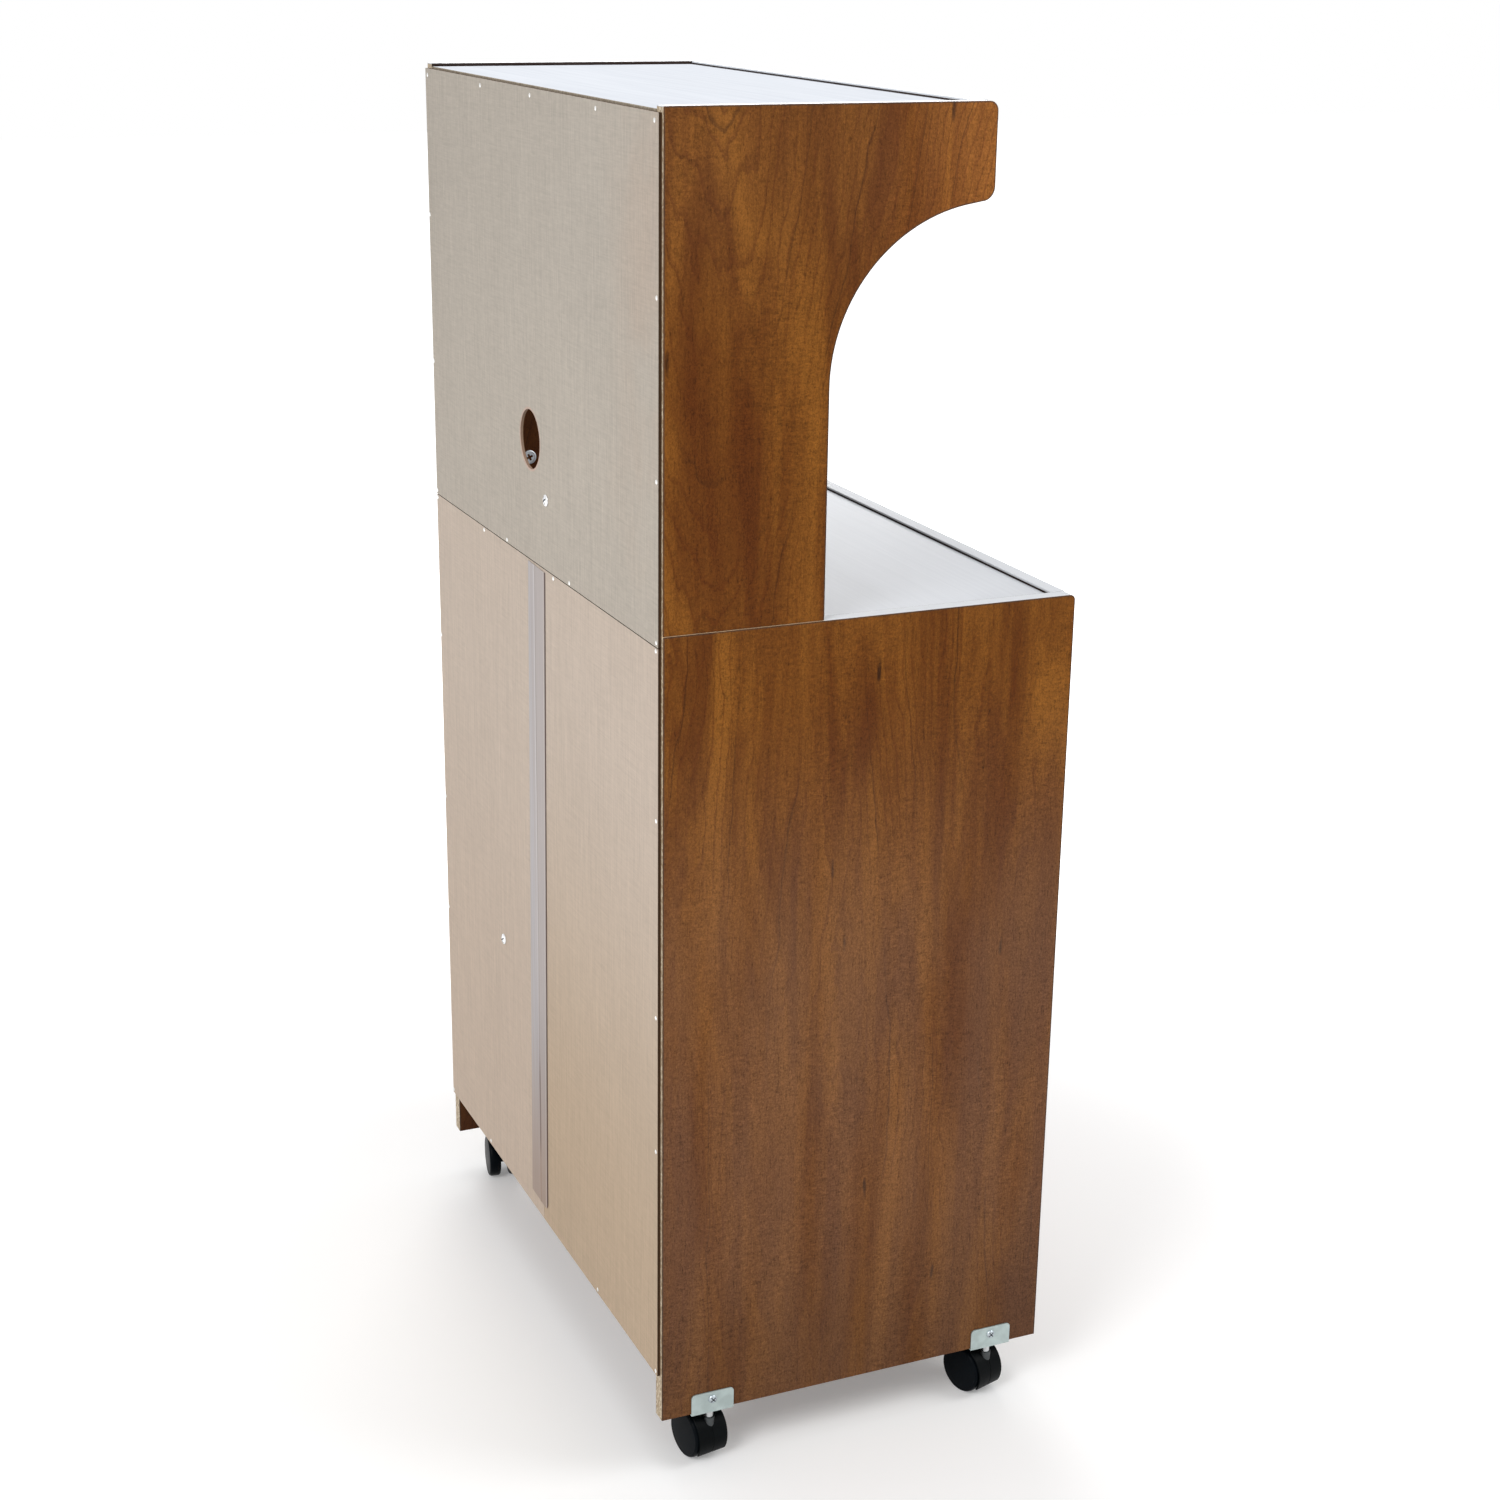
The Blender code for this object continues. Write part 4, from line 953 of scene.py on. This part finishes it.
def knobs():
    """The turned knobs, with the screw that holds each from inside."""
    nickel = plated("satin_nickel", (0.43, 0.41, 0.375), 0.34, (200.0, 1500.0, 200.0))
    zinc = plated("knob_screw_zinc", (0.70, 0.70, 0.68), 0.35)
    rings = [(0.0, 0.0088), (0.0006, 0.0092), (0.0020, 0.0089), (0.0040, 0.0074), (0.0070, 0.0066)]
    rings += [(0.0100, 0.0068), (0.0125, 0.0088), (0.0138, 0.0122), (0.0152, 0.0142), (0.0172, 0.0150)]
    rings += [(0.0192, 0.0148), (0.0212, 0.0134), (0.0226, 0.0106), (0.0236, 0.0066), (0.0240, 0.0022)]
    knob = smooth(turned("knob", rings, 48), 50)
    knob_screw = screw("knob_screw", 0.0042, 0.0020, 0.0018, 0.010)
    bodies = {"drawer_knob": "drawer"}
    bodies.update({f"door_{side}_knob": f"door_{side}_leaf" for side in SIDES})
    for node, body in bodies.items():
        low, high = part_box(node)
        middle = (low + high) / 2
        piece = place(copied(knob, f"{node}_turned"), facing((0, -1, 0), (middle.x, high.y, middle.z)))
        mount(piece, body, nickel, (node,))
        seat = facing((0, 1, 0), (middle.x, DOOR_INNER, middle.z))
        mount(place(copied(knob_screw, f"{node}_screw"), seat), body, zinc)
    discard(knob, knob_screw)


def caster_frame(caster):
    """The place of a caster's own frame, from its joints."""
    stem = Vector(JOINTS[f"{caster}_turn"]["pos_m"])
    axle = Vector(JOINTS[f"{caster}_spin_a"]["pos_m"])
    turn = math.atan2(axle.y - stem.y, axle.x - stem.x)
    return Matrix.Translation((stem.x, stem.y, 0.0)) @ Matrix.Rotation(turn, 4, "Z")


def wheel_shape():
    """A wheel with its outer face up: a rounded tread, and a smooth disc, a little domed, in a low rim."""
    rings = [(0.0, 0.0205), (0.0, 0.0222), (0.0008, 0.0234), (0.0020, WHEEL_RADIUS), (0.0094, WHEEL_RADIUS)]
    rings += [(0.0112, 0.0236), (0.0123, 0.0229), (0.0128, 0.0217), (0.0128, 0.0211), (0.0126, 0.0209)]
    rings += [(0.0130, 0.0160), (0.0132, 0.0105), (0.0133, 0.0055), (0.0133, 0.0012)]
    return smooth(turned("wheel", rings, 56), 40)


def hood_shape():
    """The hood: a drum-shaped fender with a parting groove, and a web between the wheels."""
    axle = Vector((TRAIL, 0.0, WHEEL_RADIUS))
    hood = drum(HOOD_RADIUS, HOOD_WIDTH, axle, "NOTHING")
    edit(hood)
    middle = (HOOD_FROM + HOOD_TO) / 2
    reach = math.cos((HOOD_TO - HOOD_FROM) / 2)
    kept = Vector((math.cos(middle), 0.0, math.sin(middle)))
    pick(hood, "faces", lambda p: (p - axle).normalized().dot(kept) < reach)
    bpy.ops.mesh.delete(type="FACE")
    for cut in (-0.0005, 0.0, 0.0005):
        bpy.ops.mesh.select_all(action="SELECT")
        bpy.ops.mesh.bisect(plane_co=(0, cut, 0), plane_no=(0, 1, 0))
    pick(hood, "verts", lambda p: abs(p.y) < 1e-5)
    bpy.ops.transform.resize(value=(0.984, 1.0, 0.984), center_override=axle)
    for edge in (-1, 1):
        pick(hood, "verts", lambda p: edge * p.y > HOOD_WIDTH / 2 - 1e-5)
        bpy.ops.mesh.extrude_region_move(TRANSFORM_OT_translate={"value": (0, 0.0007 * edge, 0)})
        bpy.ops.transform.resize(value=(0.978, 1.0, 0.978), center_override=axle)
    close_up(hood)
    wall = hood.modifiers.new("wall", "SOLIDIFY")
    wall.thickness = HOOD_WALL
    wall.offset = -1.0
    take(hood)
    bpy.ops.object.modifier_apply(modifier=wall.name)
    boolean(hood, web_shape(axle, kept, reach), "UNION")
    return smooth(hood, 32)


def web_shape(axle, kept, reach):
    """The web between a caster's wheels, inside the fender's span and round the axle."""
    web = drum(HOOD_RADIUS - 0.0008, WEB_WIDTH, axle, "NGON")
    edit(web)
    short = reach + 0.06
    pick(web, "verts", lambda p: (p - axle).xz.normalized().dot(kept.xz) < short)
    bpy.ops.transform.resize(value=(0.36, 1.0, 0.36), center_override=axle)
    return close_up(web)


def stem_shape():
    """The stem: a turned pin with the collar that bears under the plate."""
    rings = [(0.0437, 0.0037), (0.0440, 0.0040), (0.0544, 0.0040), (0.0546, 0.0052), (0.0548, 0.0056)]
    rings += [(0.0559, 0.0056), (0.0562, 0.0053), (0.0562, 0.0040), (0.0888, 0.0040), (0.0900, 0.0030)]
    return smooth(turned("stem", rings, 32))


def sleeve_shape():
    """The sleeve that the stem turns in, which stands out of the hood as a short column."""
    rings = [(0.0340, 0.0048), (0.0345, 0.0052), (0.0462, 0.0054), (0.0470, 0.0052), (0.0473, 0.0047)]
    return smooth(turned("sleeve", rings, 28))


def casters():
    """The four casters, each in its own frame: hood, stem, sleeve and two wheels."""
    along_stem = (300.0, 300.0, 1400.0)
    black = moulded("wheel_nylon", (0.0018, 0.0032, 0.0048), 0.34, 0.045)
    hood_black = moulded("hood_nylon", (0.0024, 0.0032, 0.0036), 0.38, 0.05)
    dark = plated("sleeve_steel", (0.085, 0.092, 0.095), 0.38, along_stem)
    bright = plated("stem_steel", (0.60, 0.62, 0.63), 0.3, along_stem)
    wheel, hood, stem, sleeve = wheel_shape(), hood_shape(), stem_shape(), sleeve_shape()
    for caster in CASTERS:
        own = caster_frame(caster)
        swivel = f"{caster}_swivel"
        piece = place(copied(hood, f"{caster}_drum"), own)
        mount(piece, swivel, hood_black, (f"{caster}_hood",))
        piece = place(copied(stem, f"{caster}_pin"), own)
        mount(piece, swivel, bright, (f"{caster}_stem",))
        piece = place(copied(sleeve, f"{caster}_sleeve"), own)
        mount(piece, swivel, dark)
        dress(f"{caster}_axle", bright)
        for letter, way in (("a", 1), ("b", -1)):
            seat = facing((0, way, 0), (TRAIL, way * WHEEL_INSIDE, WHEEL_RADIUS))
            piece = place(copied(wheel, f"{caster}_tyre_{letter}"), own @ seat)
            mount(piece, f"{caster}_rolling_{letter}", black, (f"{caster}_wheel_{letter}",))
    discard(wheel, hood, stem, sleeve)


def camera():
    """The camera where the photo was taken from, solved from the boards' edges."""
    at = (-2.1837, 0.94725, 1.3881)
    yaw, pitch, roll = (math.radians(angle) for angle in (-23.807, -18.412, 0.775))
    forward = Vector((math.cos(pitch) * math.cos(yaw), math.cos(pitch) * math.sin(yaw), math.sin(pitch)))
    level = forward.cross(Vector((0, 0, 1))).normalized()
    upright = level.cross(forward)
    right = level * math.cos(roll) + upright * math.sin(roll)
    up = upright * math.cos(roll) - level * math.sin(roll)
    view = bpy.data.objects.new("camera", bpy.data.cameras.new("camera"))
    view.data.lens = 59.28
    view.data.sensor_width = 36.0
    turn = Matrix((right, up, -forward)).transposed().to_4x4()
    view.matrix_world = Matrix.Translation(at) @ turn
    bpy.context.scene.collection.objects.link(view)
    bpy.context.scene.camera = view


def lamp(name, at, size, power, target=(0.0, 0.0, 0.6)):
    """A round softbox that points at the cart."""
    light = bpy.data.lights.new(name, "AREA")
    light.shape = "DISK"
    light.size = size
    light.energy = power
    softbox = bpy.data.objects.new(name, light)
    softbox.location = at
    softbox.rotation_euler = (Vector(target) - Vector(at)).to_track_quat("-Z", "Y").to_euler()
    bpy.context.scene.collection.objects.link(softbox)


def studio():
    """A white room: even light from all round, softboxes above and beside, and a pale floor."""
    world = bpy.data.worlds.new("studio")
    bpy.context.scene.world = world
    world.use_nodes = True
    room = Shading(world.node_tree, "Background")
    room.set(Color=(*WHITE, 1.0))
    room.feed(Strength=ROOM_LIGHT + room.seen() * (1.0 - ROOM_LIGHT))
    lamp("key", (-2.0, 2.8, 2.9), 1.8, 70.0)
    lamp("front", (-1.6, -2.6, 2.7), 2.0, 42.0)
    lamp("top", (0.3, 0.2, 3.2), 2.0, 24.0)
    lamp("right", (3.0, -0.9, 2.0), 2.0, 40.0)
    deselect()
    bpy.ops.mesh.primitive_plane_add(size=30.0)
    floor = bpy.context.object
    floor.name = "floor"
    paper = Finish("paper_floor", Roughness=0.9, Specular_IOR_Level=0.0, Emission_Strength=1.0)
    paper.set(Base_Color=(0.82, 0.82, 0.82, 1.0))
    outward = paper.distance(paper.place, (0.0, 0.0, 0.0)).smooth(0.5, 1.5)
    glow = (FLOOR_GLOW + outward * (1.0 - FLOOR_GLOW)) * paper.seen()
    paper.feed(Emission_Color=paper.mix(glow, BLACK, WHITE))
    floor.data.materials.append(paper.material)
    bpy.context.scene.view_settings.view_transform = "Standard"


camera()
boards()
panels()
drawer_box()
metal_solids()
nails()
back_screws()
plate_screws()
cam_locks()
joint_strip()
knobs()
casters()
studio()
